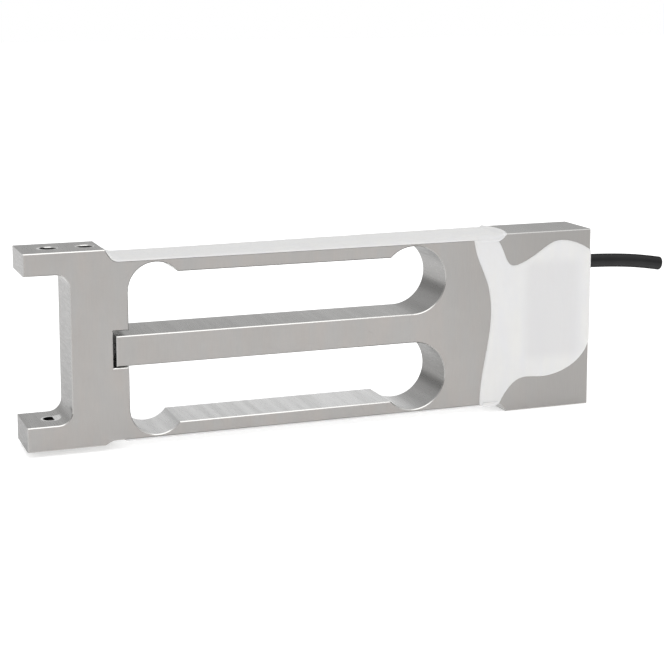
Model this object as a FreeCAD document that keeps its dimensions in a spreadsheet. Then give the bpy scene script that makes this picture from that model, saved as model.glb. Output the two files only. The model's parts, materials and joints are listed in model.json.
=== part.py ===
"""Single point load cell: a one-piece aluminium spring body with bonded strain gauges,
a wired trim board in a side pocket, silicone coatings and a short cable.

Frame: +X runs from the forked live end to the fixed cable end, -Y is the front face with
the pocket, +Z is up. The origin is the bottom centre of the spring body. Millimetres.
"""
import FreeCAD, Part
import Sketcher
import math
import os
import re
from FreeCAD import Placement, Rotation, Vector

SIZES = {
    # spring body, outside
    "length": 205.0,
    "width": 20.0,
    "flexure_span": 60.0,
    "base_foot_drop": 3.2,
    "live_foot_drop": 1.4,
    "base_pad_rise": 1.7,
    "live_pad_rise": 4.0,
    "live_pad_length": 26.6,
    "live_foot_length": 25.7,
    "base_pad_length": 34.5,
    "base_foot_length": 33.2,
    "ramp_run": 2.5,
    "ramp_fillet": 3.5,
    "edge_break": 0.3,
    # spring body, windows and overload tongue
    "beam_depth": 4.5,
    "flexure_thickness": 0.9,
    "tongue_depth": 10.2,
    "live_block_length": 34.0,
    "live_bore_radius": 9.4,
    "base_block_length": 57.5,
    "slot_depth": 5.2,
    "tip_gap": 1.0,
    "overload_gap": 1.8,
    "underside_gap": 0.4,
    # fork at the live end
    "fork_depth": 14.8,
    "upper_leg_depth": 7.4,
    "lower_leg_depth": 8.3,
    "fork_fillet": 4.5,
    # tapped holes
    "thread_core": 4.2,
    "countersink": 5.8,
    "countersink_angle": 90.0,
    "live_hole_offset": 10.0,
    "live_hole_spacing": 12.0,
    "live_hole_depth": 12.0,
    "stop_hole_offset": 9.3,
    "stop_countersink": 5.0,
    "base_hole_offset": 10.0,
    "base_hole_spacing": 12.0,
    "base_hole_depth": 12.0,
    # side pocket
    "pocket_width": 21.0,
    "pocket_height": 35.0,
    "pocket_depth": 15.0,
    "pocket_end_wall": 5.0,
    "pocket_base": 19.2,
    "pocket_corner": 4.0,
    # cable
    "cable_bore": 6.2,
    "cable_height": 51.4,
    "cable_diameter": 5.0,
    "jacket_wall": 0.75,
    "screen_wall": 0.15,
    "core_diameter": 1.3,
    "conductor_diameter": 0.6,
    "cable_reach_in": 3.0,
    "core_clearance": 0.02,
    "core_bend": 1.0,
    "core_pitch": 2.4,
    "core_strip": 0.5,
    "seal_recess": 1.5,
    # strain gauges and their wiring
    "carrier_length": 9.0,
    "carrier_width": 8.0,
    "carrier_thickness": 0.1,
    "grid_length": 5.0,
    "grid_width": 4.2,
    "grid_line": 0.3,
    "foil_thickness": 0.05,
    "terminal_length": 3.0,
    "terminal_width": 5.0,
    "terminal_thickness": 0.15,
    "terminal_gap": 0.5,
    "ribbon_width": 2.0,
    "ribbon_thickness": 0.25,
    "ribbon_offset": 6.0,
    "top_ribbon_margin": 5.6,
    "bottom_ribbon_margin": 3.3,
    "ribbon_turn": 8.0,
    "top_ribbon_height": 36.2,
    "bottom_ribbon_height": 28.0,
    # trim board
    "foam_thickness": 1.0,
    "board_thickness": 1.0,
    "board_width": 16.0,
    "board_height": 32.4,
    "board_margin": 1.3,
    "copper_thickness": 0.05,
    "pad_size": 1.6,
    "resistor_length": 3.2,
    "resistor_width": 1.6,
    "resistor_height": 0.6,
    "resistor_cap": 0.5,
    "resistor_pitch": 4.6,
    # silicone coatings
    "coating_thickness": 0.5,
    "coating_overlap": 2.7,
    "coating_bow": 2.1,
    "underside_margin": 2.0,
}

# Outline of the silicone on the front face. Along X its points stand off the pocket's inner wall;
# the flank's heights are above the mid-plane, the crest's above the pocket's top edge and the
# heel's above its bottom edge. Where it wraps over the top and bottom faces, its two corners
# stand off the foot of the fixed end's ramp; on the end face they stand above the pocket's edges.
COAT_FLANK = [(-17.1, -20.5), (-15.1, -9.2), (-13.7, 3.5), (-15.3, 14.5), (-18.8, 23.0)]
COAT_CREST = [(-8.8, 3.9), (-5.6, -0.8), (-1.6, -0.1), (6.0, 4.1), (11.2, 6.9), (19.5, 6.3)]
COAT_HEEL = [(22.3, -1.4), (14.9, -5.9), (6.0, -7.3), (-2.0, -7.4), (-7.2, -11.6)]
COAT_TOP_EDGE = (-9.6, -2.1)
COAT_BOTTOM_EDGE = (-8.0, -0.4)
COAT_END_EDGE = (5.0, 3.0)

# Bends of the two gauge ribbons on the front face, in the flank's coordinates.
TOP_RIBBON_BENDS = [(-15.4, 22.0), (-10.5, 10.0)]
BOTTOM_RIBBON_BENDS = [(-13.4, -20.0), (-11.5, -9.0)]

# Cable route outside the body: distance out from the end face and drop below the bore's axis.
CABLE_ROUTE = [(4.5, 0.0), (17.0, 0.5), (27.5, 1.5), (35.0, 2.8)]

# Share of the shorter of two runs that the arc between them takes, and the distance under which
# two points count as one.
BEND_SHARE = 0.45
NEAR = 0.01

CORE_COLOURS = ["red", "black", "green", "white"]
GAUGES = [("top", "live"), ("top", "base"), ("bottom", "live"), ("bottom", "base")]

doc = FreeCAD.newDocument("single_point_load_cell")
sheet = doc.addObject("Spreadsheet::Sheet", "Sizes")
for row, (alias, value) in enumerate(SIZES.items(), start=1):
    sheet.set(f"A{row}", alias)
    sheet.set(f"B{row}", str(value))
    sheet.setAlias(f"B{row}", alias)
doc.recompute()


def size(alias):
    """Value of one cell of the sheet."""
    return float(getattr(sheet, alias))


def bound(text):
    """Expression in which each <alias> points at the sheet."""
    return re.sub(r"<(\w+)>", r"Sizes.\1", text)


# Stations along X are measured from the live end, heights from the underside of the fixed foot.
MID = "(<base_foot_drop> + <flexure_span> / 2)"
TOP_FACE = "(<base_foot_drop> + <flexure_span>)"
BASE_BORE_RADIUS = "((<flexure_span> - 2 * <flexure_thickness> - <tongue_depth>) / 4)"
LIVE_BORE_X = "(<live_block_length> + <live_bore_radius>)"
BASE_BORE_X = f"(<length> - <base_block_length> - {BASE_BORE_RADIUS})"
POCKET_X = "(<length> - <pocket_end_wall> - <pocket_width>)"
POCKET_FLOOR = "(<pocket_depth> - <width> / 2)"
BOARD_FACE = f"({POCKET_FLOOR} - <foam_thickness> - <board_thickness>)"
PAD_FACE = f"({BOARD_FACE} - <copper_thickness>)"
CABLE_END = "(<length> - <pocket_end_wall> - <cable_reach_in>)"
HALF_WIDTH = "(<width> / 2)"


def number(text):
    """Value of an expression written with sheet aliases."""
    probe = sheet.evalExpression(bound(text))
    return float(probe)


def bind(thing, prop, text):
    """Drive one property of an object from the sheet."""
    thing.setExpression(prop, bound(text))


def at_live_end(thing):
    """Shift an object drawn in stations from the live end to the part's frame."""
    bind(thing, "Placement.Base.x", "-<length> / 2")


def origin_plane(body, role):
    """One of a body's own origin planes."""
    return next(item for item in body.Origin.OriginFeatures if item.Role == role)


def new_sketch(body, name, role, offset="0"):
    """Sketch on an origin plane, moved along the plane's normal by a driven offset."""
    sketch = body.newObject("Sketcher::SketchObject", name)
    sketch.AttachmentSupport = [(origin_plane(body, role), "")]
    sketch.MapMode = "FlatFace"
    bind(sketch, "AttachmentOffset.Base.z", offset)
    return sketch


def pin_point(sketch, geometry, point, x_text, y_text):
    """Hold one point of a sketch at driven distances from the sketch's origin."""
    for kind, text in (("DistanceX", x_text), ("DistanceY", y_text)):
        value = number(text)
        index = sketch.addConstraint(Sketcher.Constraint(kind, -1, 1, geometry, point, value))
        bind(sketch, f"Constraints[{index}]", text)


def draw_outline(sketch, corners):
    """Closed polygon whose corners are pairs of expressions."""
    points = [Vector(number(x), number(y), 0) for x, y in corners]
    first = sketch.GeometryCount
    count = len(points)
    for k in range(count):
        sketch.addGeometry(Part.LineSegment(points[k], points[(k + 1) % count]), False)
    for k in range(count):
        following = first + (k + 1) % count
        sketch.addConstraint(Sketcher.Constraint("Coincident", first + k, 2, following, 1))
    for k, (x_text, y_text) in enumerate(corners):
        pin_point(sketch, first + k, 1, x_text, y_text)


def draw_box(sketch, x_low, x_high, y_low, y_high):
    """Rectangle between driven limits."""
    draw_outline(sketch, [(x_low, y_low), (x_high, y_low), (x_high, y_high), (x_low, y_high)])


def draw_circle(sketch, x_text, y_text, radius_text):
    """Circle with a driven centre and radius."""
    centre = Vector(number(x_text), number(y_text), 0)
    radius = number(radius_text)
    circle = sketch.addGeometry(Part.Circle(centre, Vector(0, 0, 1), radius), False)
    pin_point(sketch, circle, 3, x_text, y_text)
    index = sketch.addConstraint(Sketcher.Constraint("Radius", circle, radius))
    bind(sketch, f"Constraints[{index}]", radius_text)


def through_feature(body, kind, name, sketch):
    """Pad or pocket of a side-view sketch over the full width."""
    feature = body.newObject(kind, name)
    feature.Profile = sketch
    feature.Midplane = True
    if kind == "PartDesign::Pocket":
        feature.Type = "ThroughAll"
    else:
        bind(feature, "Length", "<width>")
    doc.recompute()
    return feature


def cross_edges(feature, places):
    """Names of the edges parallel to Y that stand at the given (station, height) places."""
    names = []
    for index, edge in enumerate(feature.Shape.Edges, start=1):
        box = edge.BoundBox
        if box.YLength < NEAR or box.XLength > NEAR or box.ZLength > NEAR:
            continue
        if any(math.hypot(box.XMin - x, box.ZMin - z) < NEAR for x, z in places):
            names.append(f"Edge{index}")
    return names


def dress(body, kind, name, base, edges, prop, text):
    """Fillet or chamfer of named edges with a driven size."""
    feature = body.newObject(kind, name)
    feature.Base = (base, edges)
    setattr(feature, prop, number(text))
    bind(feature, prop, text)
    doc.recompute()
    return feature


def ramp_ends():
    """Foot of each ramp on the flexure faces, as (station, height) expressions."""
    return [
        ("<live_pad_length> + <ramp_run>", TOP_FACE),
        ("<length> - <base_pad_length> - <ramp_run>", TOP_FACE),
        ("<length> - <base_foot_length> - <ramp_run>", "<base_foot_drop>"),
        ("<live_foot_length> + <ramp_run>", "<base_foot_drop>"),
    ]


def make_spring_body():
    """One-piece aluminium body: pads, ramps, flexure windows, tongue, fork, holes and pocket."""
    body = doc.addObject("PartDesign::Body", "spring_body")
    ramps = ramp_ends()
    fixed_top = "<base_foot_drop> + <flexure_span> + <base_pad_rise>"
    live_top = "<base_foot_drop> + <flexure_span> + <live_pad_rise>"
    live_foot = "<base_foot_drop> - <live_foot_drop>"

    profile = new_sketch(body, "side_profile", "XZ_Plane")
    draw_outline(profile, [
        ("0", live_foot), ("0", live_top), ("<live_pad_length>", live_top),
        ramps[0], ramps[1],
        ("<length> - <base_pad_length>", fixed_top), ("<length>", fixed_top), ("<length>", "0"),
        ("<length> - <base_foot_length>", "0"), ramps[2], ramps[3],
        ("<live_foot_length>", live_foot),
    ])
    billet = through_feature(body, "PartDesign::Pad", "billet", profile)
    places = [(number(x), number(z)) for x, z in ramps]
    dress(body, "PartDesign::Fillet", "ramp_fillets", billet, cross_edges(billet, places),
          "Radius", "<ramp_fillet>")

    fork = new_sketch(body, "fork_sketch", "XZ_Plane")
    leg_top = f"{live_foot} + <lower_leg_depth>"
    leg_underside = f"{live_top} - <upper_leg_depth>"
    draw_box(fork, "0", "<fork_depth>", leg_top, leg_underside)
    mouth = through_feature(body, "PartDesign::Pocket", "fork_mouth", fork)
    roots = [(number("<fork_depth>"), number(z)) for z in (leg_top, leg_underside)]
    dress(body, "PartDesign::Fillet", "fork_fillets", mouth, cross_edges(mouth, roots),
          "Radius", "<fork_fillet>")

    windows = new_sketch(body, "window_sketch", "XZ_Plane")
    live_bore_reach = "(<flexure_span> / 2 - <flexure_thickness> - <live_bore_radius>)"
    for side in ("+", "-"):
        tongue_face = f"{MID} {side} <tongue_depth> / 2"
        beam_face = f"{MID} {side} (<flexure_span> / 2 - <beam_depth>)"
        bore_axis = f"{MID} {side} {live_bore_reach}"
        draw_outline(windows, [
            ("<live_block_length>", tongue_face), (BASE_BORE_X, tongue_face),
            (BASE_BORE_X, beam_face), (LIVE_BORE_X, beam_face),
            (LIVE_BORE_X, bore_axis), ("<live_block_length>", bore_axis),
        ])
    through_feature(body, "PartDesign::Pocket", "windows", windows)

    bores = new_sketch(body, "bore_sketch", "XZ_Plane")
    for x_text, radius in ((LIVE_BORE_X, "<live_bore_radius>"), (BASE_BORE_X, BASE_BORE_RADIUS)):
        reach = f"(<flexure_span> / 2 - <flexure_thickness> - {radius})"
        for side in ("+", "-"):
            draw_circle(bores, x_text, f"{MID} {side} {reach}", radius)
    through_feature(body, "PartDesign::Pocket", "flexure_bores", bores)

    slot = new_sketch(body, "slot_sketch", "XZ_Plane")
    slot_x = "<live_block_length> - <slot_depth>"
    tongue_top = f"{MID} + <tongue_depth> / 2"
    tongue_base = f"{MID} - <tongue_depth> / 2"
    slot_top = f"{tongue_top} + <overload_gap>"
    slot_base = f"{tongue_base} - <underside_gap>"
    draw_outline(slot, [
        ("<live_block_length>", slot_top), (slot_x, slot_top), (slot_x, slot_base),
        ("<live_block_length>", slot_base), ("<live_block_length>", tongue_base),
        (f"{slot_x} + <tip_gap>", tongue_base), (f"{slot_x} + <tip_gap>", tongue_top),
        ("<live_block_length>", tongue_top),
    ])
    cut = through_feature(body, "PartDesign::Pocket", "overload_slot", slot)

    rims = [f"Edge{k}" for k, edge in enumerate(cut.Shape.Edges, start=1)
            if edge.BoundBox.YLength < NEAR
            and abs(abs(edge.BoundBox.YMin) - number(HALF_WIDTH)) < NEAR]
    dress(body, "PartDesign::Chamfer", "broken_edges", cut, rims, "Size", "<edge_break>")

    live_holes = [("<live_hole_offset>", "0"), ("<live_hole_offset> + <live_hole_spacing>", "0")]
    base_holes = [("<length> - <base_hole_offset>", "0"),
                  ("<length> - <base_hole_offset> - <base_hole_spacing>", "0")]
    stop_hole = [("<stop_hole_offset>", "0")]
    tapped_holes(body, "live_holes", live_holes, live_top, "<live_hole_depth>", "<countersink>")
    tapped_holes(body, "stop_hole", stop_hole, leg_top, "<lower_leg_depth>", "<stop_countersink>")
    tapped_holes(body, "base_holes", base_holes, "0", "<base_hole_depth>", "<countersink>", True)

    recess = new_sketch(body, "pocket_sketch", "XZ_Plane", HALF_WIDTH)
    draw_pocket_box(recess)
    pocket = body.newObject("PartDesign::Pocket", "side_pocket")
    pocket.Profile = recess
    bind(pocket, "Length", "<pocket_depth>")
    doc.recompute()
    dress(body, "PartDesign::Fillet", "pocket_corners", pocket, pocket_edges(pocket),
          "Radius", "<pocket_corner>")

    entry = new_sketch(body, "cable_bore_sketch", "YZ_Plane", "<length>")
    draw_circle(entry, "0", "<cable_height>", "<cable_bore> / 2")
    bore = body.newObject("PartDesign::Pocket", "cable_bore")
    bore.Profile = entry
    bind(bore, "Length", "<pocket_end_wall> + <pocket_corner>")
    doc.recompute()
    at_live_end(body)
    return body


def draw_pocket_box(sketch):
    """Outline of the side pocket, shared by the body and by what fills it."""
    draw_box(sketch, POCKET_X, f"{POCKET_X} + <pocket_width>",
             "<pocket_base>", "<pocket_base> + <pocket_height>")


def pocket_edges(feature):
    """Corner edges of the pocket, which run along Y."""
    x_values = [number(POCKET_X), number(f"{POCKET_X} + <pocket_width>")]
    z_values = [number("<pocket_base>"), number("<pocket_base> + <pocket_height>")]
    return cross_edges(feature, [(x, z) for x in x_values for z in z_values])


def tapped_holes(body, name, centres, height, depth, mouth, upward=False):
    """Countersunk tapping holes; centres are (station, offset across the body) pairs."""
    doc.recompute()
    sketch = new_sketch(body, f"{name}_sketch", "XY_Plane", height)
    for x_text, y_text in centres:
        draw_circle(sketch, x_text, y_text, "<thread_core> / 2")
    doc.recompute()
    hole = body.newObject("PartDesign::Hole", name)
    hole.Profile = sketch
    doc.recompute()
    hole.DepthType = "Dimension"
    hole.HoleCutType = "Countersink"
    hole.HoleCutCustomValues = True
    hole.DrillPoint = "Angled"
    hole.Reversed = upward
    for prop, text in (("Diameter", "<thread_core>"), ("Depth", depth),
                       ("HoleCutDiameter", mouth), ("HoleCutCountersinkAngle", "<countersink_angle>")):
        setattr(hole, prop, number(text))
        bind(hole, prop, text)
    doc.recompute()
    return hole


def make_box(name, x, y, z, length, width, height):
    """Part::Box with its low corner at (x, y, z), every size driven from the sheet."""
    box = doc.addObject("Part::Box", name)
    for prop, text in (("Length", length), ("Width", width), ("Height", height)):
        bind(box, prop, text)
    bind(box, "Placement.Base.x", f"{x} - <length> / 2")
    bind(box, "Placement.Base.y", y)
    bind(box, "Placement.Base.z", z)
    return box


def make_feature(name, shape):
    """Part::Feature for a form drawn in stations from the live end."""
    feature = doc.addObject("Part::Feature", name)
    feature.Shape = shape
    feature.Placement = Placement(Vector(-size("length") / 2, 0, 0), Rotation())
    return feature


def join(name, pieces):
    """One object fused from several."""
    fuse = doc.addObject("Part::MultiFuse", name)
    fuse.Shapes = pieces
    return fuse


def carve(name, blank, embedded):
    """A blank with room left, piece by piece, for what is embedded in it."""
    for k, piece in enumerate(embedded, start=1):
        last = k == len(embedded)
        cut = doc.addObject("Part::Cut", name if last else f"{name}_room_{k}")
        cut.Base = blank
        cut.Tool = piece
        blank = cut
    return blank


def gauge_station(end):
    """Station of a gauge's middle, over the thinnest section of its flexure."""
    return LIVE_BORE_X if end == "live" else BASE_BORE_X


def stacked(face, below, thickness):
    """Lower height of a layer on the top or bottom face, over what lies below it."""
    if face == "top":
        return f"{TOP_FACE} + {below}"
    return f"<base_foot_drop> - {below} - {thickness}"


def make_gauge(face, end):
    """Strain gauge over one flexure: film carrier, etched foil grid and solder terminal."""
    middle = gauge_station(end)
    carrier = make_box(f"gauge_carrier_{face}_{end}", f"{middle} - <carrier_length> / 2",
                       "-<carrier_width> / 2", stacked(face, "0", "<carrier_thickness>"),
                       "<carrier_length>", "<carrier_width>", "<carrier_thickness>")
    grid = make_grid(face, end)
    start = f"{middle} + <carrier_length> / 2 + <terminal_gap>"
    terminal = make_box(f"gauge_terminal_{face}_{end}", start, "-<terminal_width> / 2",
                        stacked(face, "0", "<terminal_thickness>"),
                        "<terminal_length>", "<terminal_width>", "<terminal_thickness>")
    return [carrier, grid, terminal]


def make_grid(face, end):
    """Meander of foil strands along X, joined in turn at their ends, with two solder tabs."""
    line, foil = size("grid_line"), size("foil_thickness")
    reach = size("grid_length") / 2
    pitch = 2 * line
    strands = 2 * max(1, int(size("grid_width") / (2 * pitch)))
    first = -(strands - 1) * pitch / 2
    middle = number(gauge_station(end))
    low = number(stacked(face, "<carrier_thickness>", "<foil_thickness>"))

    def patch(x, y, length, width):
        return Part.makeBox(length, width, foil, Vector(middle + x, y, low))

    pieces = []
    for k in range(strands):
        y = first + k * pitch
        pieces.append(patch(-reach, y - line / 2, 2 * reach, line))
        if k < strands - 1:
            x = -reach if k % 2 else reach - line
            pieces.append(patch(x, y, line, pitch))
    tab = 2 * line
    for y in (first - line / 2, -first + line / 2 - tab):
        pieces.append(patch(reach, y, tab, tab))
    shape = pieces[0].multiFuse(pieces[1:]).removeSplitter()
    return make_feature(f"gauge_grid_{face}_{end}", shape)


def strip(points, width, to_space, normal, thickness):
    """Flat strip of even width along a bent centre line, thickened along normal."""
    left, right = [], []
    for k, point in enumerate(points):
        before = points[max(k - 1, 0)]
        after = points[min(k + 1, len(points) - 1)]
        into = (point - before) if k else (after - point)
        out = (after - point) if k < len(points) - 1 else into
        into, out = Vector(into).normalize(), Vector(out).normalize()
        along = (into + out).normalize()
        across = Vector(-along.y, along.x, 0)
        half = width / 2 / math.sqrt((1 + into.dot(out)) / 2)
        left.append(point + across * half)
        right.append(point - across * half)
    corners = [to_space(corner) for corner in left + right[::-1]]
    face = Part.Face(Part.makePolygon(corners + corners[:1]))
    return face.extrude(normal * thickness)


def make_ribbon(face, bends, height):
    """Flat ribbon from both gauges of a face, over the front edge and into the pocket."""
    up = 1 if face == "top" else -1
    level = number(TOP_FACE) if face == "top" else size("base_foot_drop")
    thick, wide = size("ribbon_thickness"), size("ribbon_width")
    front, wall, entry = -number(HALF_WIDTH), number(POCKET_X), size(height)
    terminal_x = number(f"{LIVE_BORE_X} + <carrier_length> / 2 + <terminal_gap>")
    track = -size("ribbon_offset")
    ramp_foot = ramp_ends()[1 if face == "top" else 2][0]
    drop_x = number(f"{ramp_foot} - <{face}_ribbon_margin>")

    on_face = [Vector(terminal_x, track, 0), Vector(drop_x, track, 0), Vector(drop_x, front - thick, 0)]
    pieces = [strip(on_face, wide, lambda p: Vector(p.x, p.y, level), Vector(0, 0, up), thick)]
    for end in ("live", "base"):
        x = number(f"{gauge_station(end)} + <carrier_length> / 2 + <terminal_gap> + <terminal_length> / 2")
        tab = [Vector(x, track, 0), Vector(x, -size("terminal_width") / 2, 0)]
        pieces.append(strip(tab, wide, lambda p: Vector(p.x, p.y, level), Vector(0, 0, up), thick))

    middle = number(MID)
    reach = number("<flexure_span> / 2") + thick
    down = [Vector(drop_x, middle + up * reach, 0)]
    down += [Vector(wall + dx, middle + dz, 0) for dx, dz in bends]
    down += [Vector(wall - size("ribbon_turn"), entry, 0), Vector(wall + thick, entry, 0)]
    pieces.append(strip(down, wide, lambda p: Vector(p.x, front, p.y), Vector(0, -1, 0), thick))

    landing = number(PAD_FACE)
    low = entry - wide / 2
    pieces.append(Part.makeBox(thick, landing - front + thick, wide, Vector(wall, front - thick, low)))
    run = size("board_margin") + size("pad_size")
    pieces.append(Part.makeBox(run, thick, wide, Vector(wall, landing - thick, low)))
    return make_feature(f"{face}_ribbon", pieces[0].multiFuse(pieces[1:]).removeSplitter())


def make_trim_board():
    """Foam pad, circuit board, copper pads and four chip resistors in the pocket."""
    left = f"({POCKET_X} + <board_margin>)"
    base = "(<pocket_base> + <board_margin>)"
    foam = make_box("board_foam", left, f"{POCKET_FLOOR} - <foam_thickness>", base,
                    "<board_width>", "<foam_thickness>", "<board_height>")
    board = make_box("trim_board", left, BOARD_FACE, base,
                     "<board_width>", "<board_thickness>", "<board_height>")
    pads = []
    for k in range(len(CORE_COLOURS)):
        pads.append(make_copper(f"core_pad_{k}", f"{core_station(k)} - <pad_size> / 2",
                                f"{core_height(k)} - <pad_size> / 2"))
    for face in ("top", "bottom"):
        pads.append(make_copper(f"{face}_ribbon_pad", left,
                                f"<{face}_ribbon_height> - <pad_size> / 2"))
    copper = join("board_pads", pads)
    resistors = []
    names = ["span_resistor_a", "span_resistor_b", "zero_resistor", "balance_resistor"]
    for k, name in enumerate(names):
        column, row = k % 2, k // 2
        x = f"{left} + <board_width> / 2 + {column - 0.5} * <resistor_pitch>"
        z = f"<bottom_ribbon_height> + {row} * <resistor_pitch>"
        resistors.append(make_resistor(name, x, z))
    return [foam, board, copper] + resistors


def make_copper(name, x, z):
    """Square copper pad on the board's face."""
    return make_box(name, x, PAD_FACE, z, "<pad_size>", "<copper_thickness>", "<pad_size>")


def make_resistor(name, x, z):
    """Chip resistor standing on the board, with proud solder caps at both ends."""
    body = make_box(f"{name}_chip", f"{x} - <resistor_length> / 2 + <resistor_cap>",
                    f"{BOARD_FACE} - <resistor_height> + <copper_thickness>", z,
                    "<resistor_length> - 2 * <resistor_cap>",
                    "<resistor_height> - <copper_thickness>", "<resistor_width>")
    caps = []
    starts = [f"{x} - <resistor_length> / 2", f"{x} + <resistor_length> / 2 - <resistor_cap>"]
    for side, start in zip("ab", starts):
        caps.append(make_box(f"{name}_cap_{side}", start, f"{BOARD_FACE} - <resistor_height>", z,
                             "<resistor_cap>", "<resistor_height>", "<resistor_width>"))
    return join(name, [body] + caps)


def core_station(k):
    """Station at which a core turns down onto its pad."""
    return f"({CABLE_END} - <core_bend> - <core_diameter> / 2 - {k} * <core_pitch>)"


def core_offset(k):
    """Sideways and upward offset of a core from the cable's axis, as signs."""
    return (1 if k < 2 else -1), (1 if k % 2 == 0 else -1)


def core_height(k):
    """Height of a core's own axis."""
    sign = "+" if core_offset(k)[1] > 0 else "-"
    return f"(<cable_height> {sign} (<core_diameter> / 2 + <core_clearance>))"


def cable_path():
    """Straight runs and tangent arcs of the cable's axis, in the XZ plane."""
    axis, face = size("cable_height"), size("length")
    points = [Vector(number(CABLE_END), 0, axis)]
    points += [Vector(face + out, 0, axis - drop) for out, drop in CABLE_ROUTE]
    steps = []
    place = points[0]
    for k in range(1, len(points) - 1):
        into, out = points[k] - points[k - 1], points[k + 1] - points[k]
        turn = into.getAngle(out)
        setback = BEND_SHARE * min(into.Length, out.Length)
        radius = setback / math.tan(turn / 2)
        print(f"cable bend {k}: radius {radius:.1f} mm, turn {math.degrees(turn):.2f} degrees")
        start = points[k] - Vector(into).normalize() * setback
        steps.append(("run", start - place))
        down = Vector(0, 1, 0).cross(Vector(into).normalize())
        steps.append(("arc", start + down * radius, math.degrees(turn)))
        place = points[k] + Vector(out).normalize() * setback
    steps.append(("run", points[-1] - place))
    return steps


def path_length(path):
    """Length of the cable's axis over its runs and arcs."""
    total = 0.0
    axis = Vector(number(CABLE_END), 0, size("cable_height"))
    for step in path:
        if step[0] == "run":
            total += step[1].Length
            axis = axis + step[1]
        else:
            centre, angle = step[1], step[2]
            total += math.radians(angle) * (axis - centre).Length
            axis = centre + Rotation(Vector(0, 1, 0), angle).multVec(axis - centre)
    return total


def sweep_cable(path, section):
    """Solid of a flat section, standing at the cable's inner end, along the cable's path."""
    pieces = []
    for step in path:
        if step[0] == "run":
            pieces.append(section.extrude(step[1]))
            section = section.translated(step[1])
        else:
            centre, angle = step[1], step[2]
            pieces.append(section.revolve(centre, Vector(0, 1, 0), angle))
            section = section.rotated(centre, Vector(0, 1, 0), angle)
    return pieces[0].multiFuse(pieces[1:]).removeSplitter()


def ring(centre, outer, inner, normal):
    """Flat ring, or a disc where inner is nought."""
    face = Part.Face(Part.Wire(Part.makeCircle(outer, centre, normal)))
    if inner:
        face = face.cut(Part.Face(Part.Wire(Part.makeCircle(inner, centre, normal)))).Faces[0]
    return face


def turned_end(k, outer, inner, stop_short):
    """Core's stretch in the pocket: inward, a quarter turn towards the board and onto its pad."""
    side = core_offset(k)[0] * (size("core_diameter") / 2 + size("core_clearance"))
    start = Vector(number(CABLE_END), side, number(core_height(k)))
    bend = size("core_bend")
    corner_x = number(core_station(k)) + bend
    face = ring(start, outer, inner, Vector(1, 0, 0))
    pieces = [face.extrude(Vector(corner_x - start.x, 0, 0))]
    face = face.translated(Vector(corner_x - start.x, 0, 0))
    pivot = Vector(corner_x, side + bend, start.z)
    pieces.append(face.revolve(pivot, Vector(0, 0, 1), -90))
    face = face.rotated(pivot, Vector(0, 0, 1), -90)
    leg = number(PAD_FACE) - stop_short - (side + bend)
    pieces.append(face.extrude(Vector(0, leg, 0)))
    return pieces


def make_cable():
    """Jacket, braided screen, four insulated cores and their copper conductors."""
    path = cable_path()
    normal = Vector(1, 0, 0)
    start = Vector(number(CABLE_END), 0, size("cable_height"))
    outside = size("cable_diameter") / 2
    under_jacket = outside - size("jacket_wall")
    under_screen = under_jacket - size("screen_wall")
    wall = ring(start, outside, under_jacket, normal)
    braid = ring(start, under_jacket, under_screen, normal)
    jacket = make_feature("cable_jacket", sweep_cable(path, wall))
    screen = make_feature("cable_screen", sweep_cable(path, braid))
    length = path_length(path)
    share = jacket.Shape.Volume / (wall.Area * length)
    print(f"cable axis {length:.2f} mm, jacket volume over section x length {share:.5f}")
    cores = []
    copper = size("conductor_diameter") / 2
    sheath = size("core_diameter") / 2
    for k, colour in enumerate(CORE_COLOURS):
        side = core_offset(k)[0] * (sheath + size("core_clearance"))
        centre = Vector(start.x, side, number(core_height(k)))
        for kind, outer, inner, stop_short in (("core", sheath, copper, size("core_strip")),
                                               ("conductor", copper, 0, 0)):
            pieces = [sweep_cable(path, ring(centre, outer, inner, normal))]
            pieces += turned_end(k, outer, inner, stop_short)
            shape = pieces[0].multiFuse(pieces[1:]).removeSplitter()
            cores.append(make_feature(f"{kind}_{colour}", shape))
    return [jacket, screen], cores


def make_cable_seal():
    """Rubber sleeve that grips the cable in its bore, short of the end face."""
    body = doc.addObject("PartDesign::Body", "cable_seal")
    sketch = new_sketch(body, "seal_sketch", "YZ_Plane", "<length> - <pocket_end_wall>")
    draw_circle(sketch, "0", "<cable_height>", "<cable_bore> / 2")
    draw_circle(sketch, "0", "<cable_height>", "<cable_diameter> / 2")
    pad = body.newObject("PartDesign::Pad", "seal_pad")
    pad.Profile = sketch
    bind(pad, "Length", "<pocket_end_wall> - <seal_recess>")
    doc.recompute()
    at_live_end(body)
    return body


def make_pocket_filler(embedded):
    """Silicone that fills the side pocket round the board, ribbons, cores and cable end."""
    body = doc.addObject("PartDesign::Body", "filler_blank")
    sketch = new_sketch(body, "filler_sketch", "XZ_Plane", HALF_WIDTH)
    draw_pocket_box(sketch)
    pad = body.newObject("PartDesign::Pad", "filler_pad")
    pad.Profile = sketch
    pad.Reversed = True
    bind(pad, "Length", "<pocket_depth>")
    doc.recompute()
    dress(body, "PartDesign::Fillet", "filler_corners", pad, pocket_edges(pad),
          "Radius", "<pocket_corner>")
    at_live_end(body)
    cable_end = doc.addObject("Part::Cylinder", "cable_end_room")
    bind(cable_end, "Radius", "<cable_diameter> / 2")
    bind(cable_end, "Height", "<pocket_end_wall> + <cable_reach_in>")
    cable_end.Placement.Rotation = Rotation(Vector(0, 1, 0), 90)
    bind(cable_end, "Placement.Base.x", f"{CABLE_END} - <length> / 2")
    bind(cable_end, "Placement.Base.z", "<cable_height>")
    return carve("pocket_filler", body, embedded + [cable_end])


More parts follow.
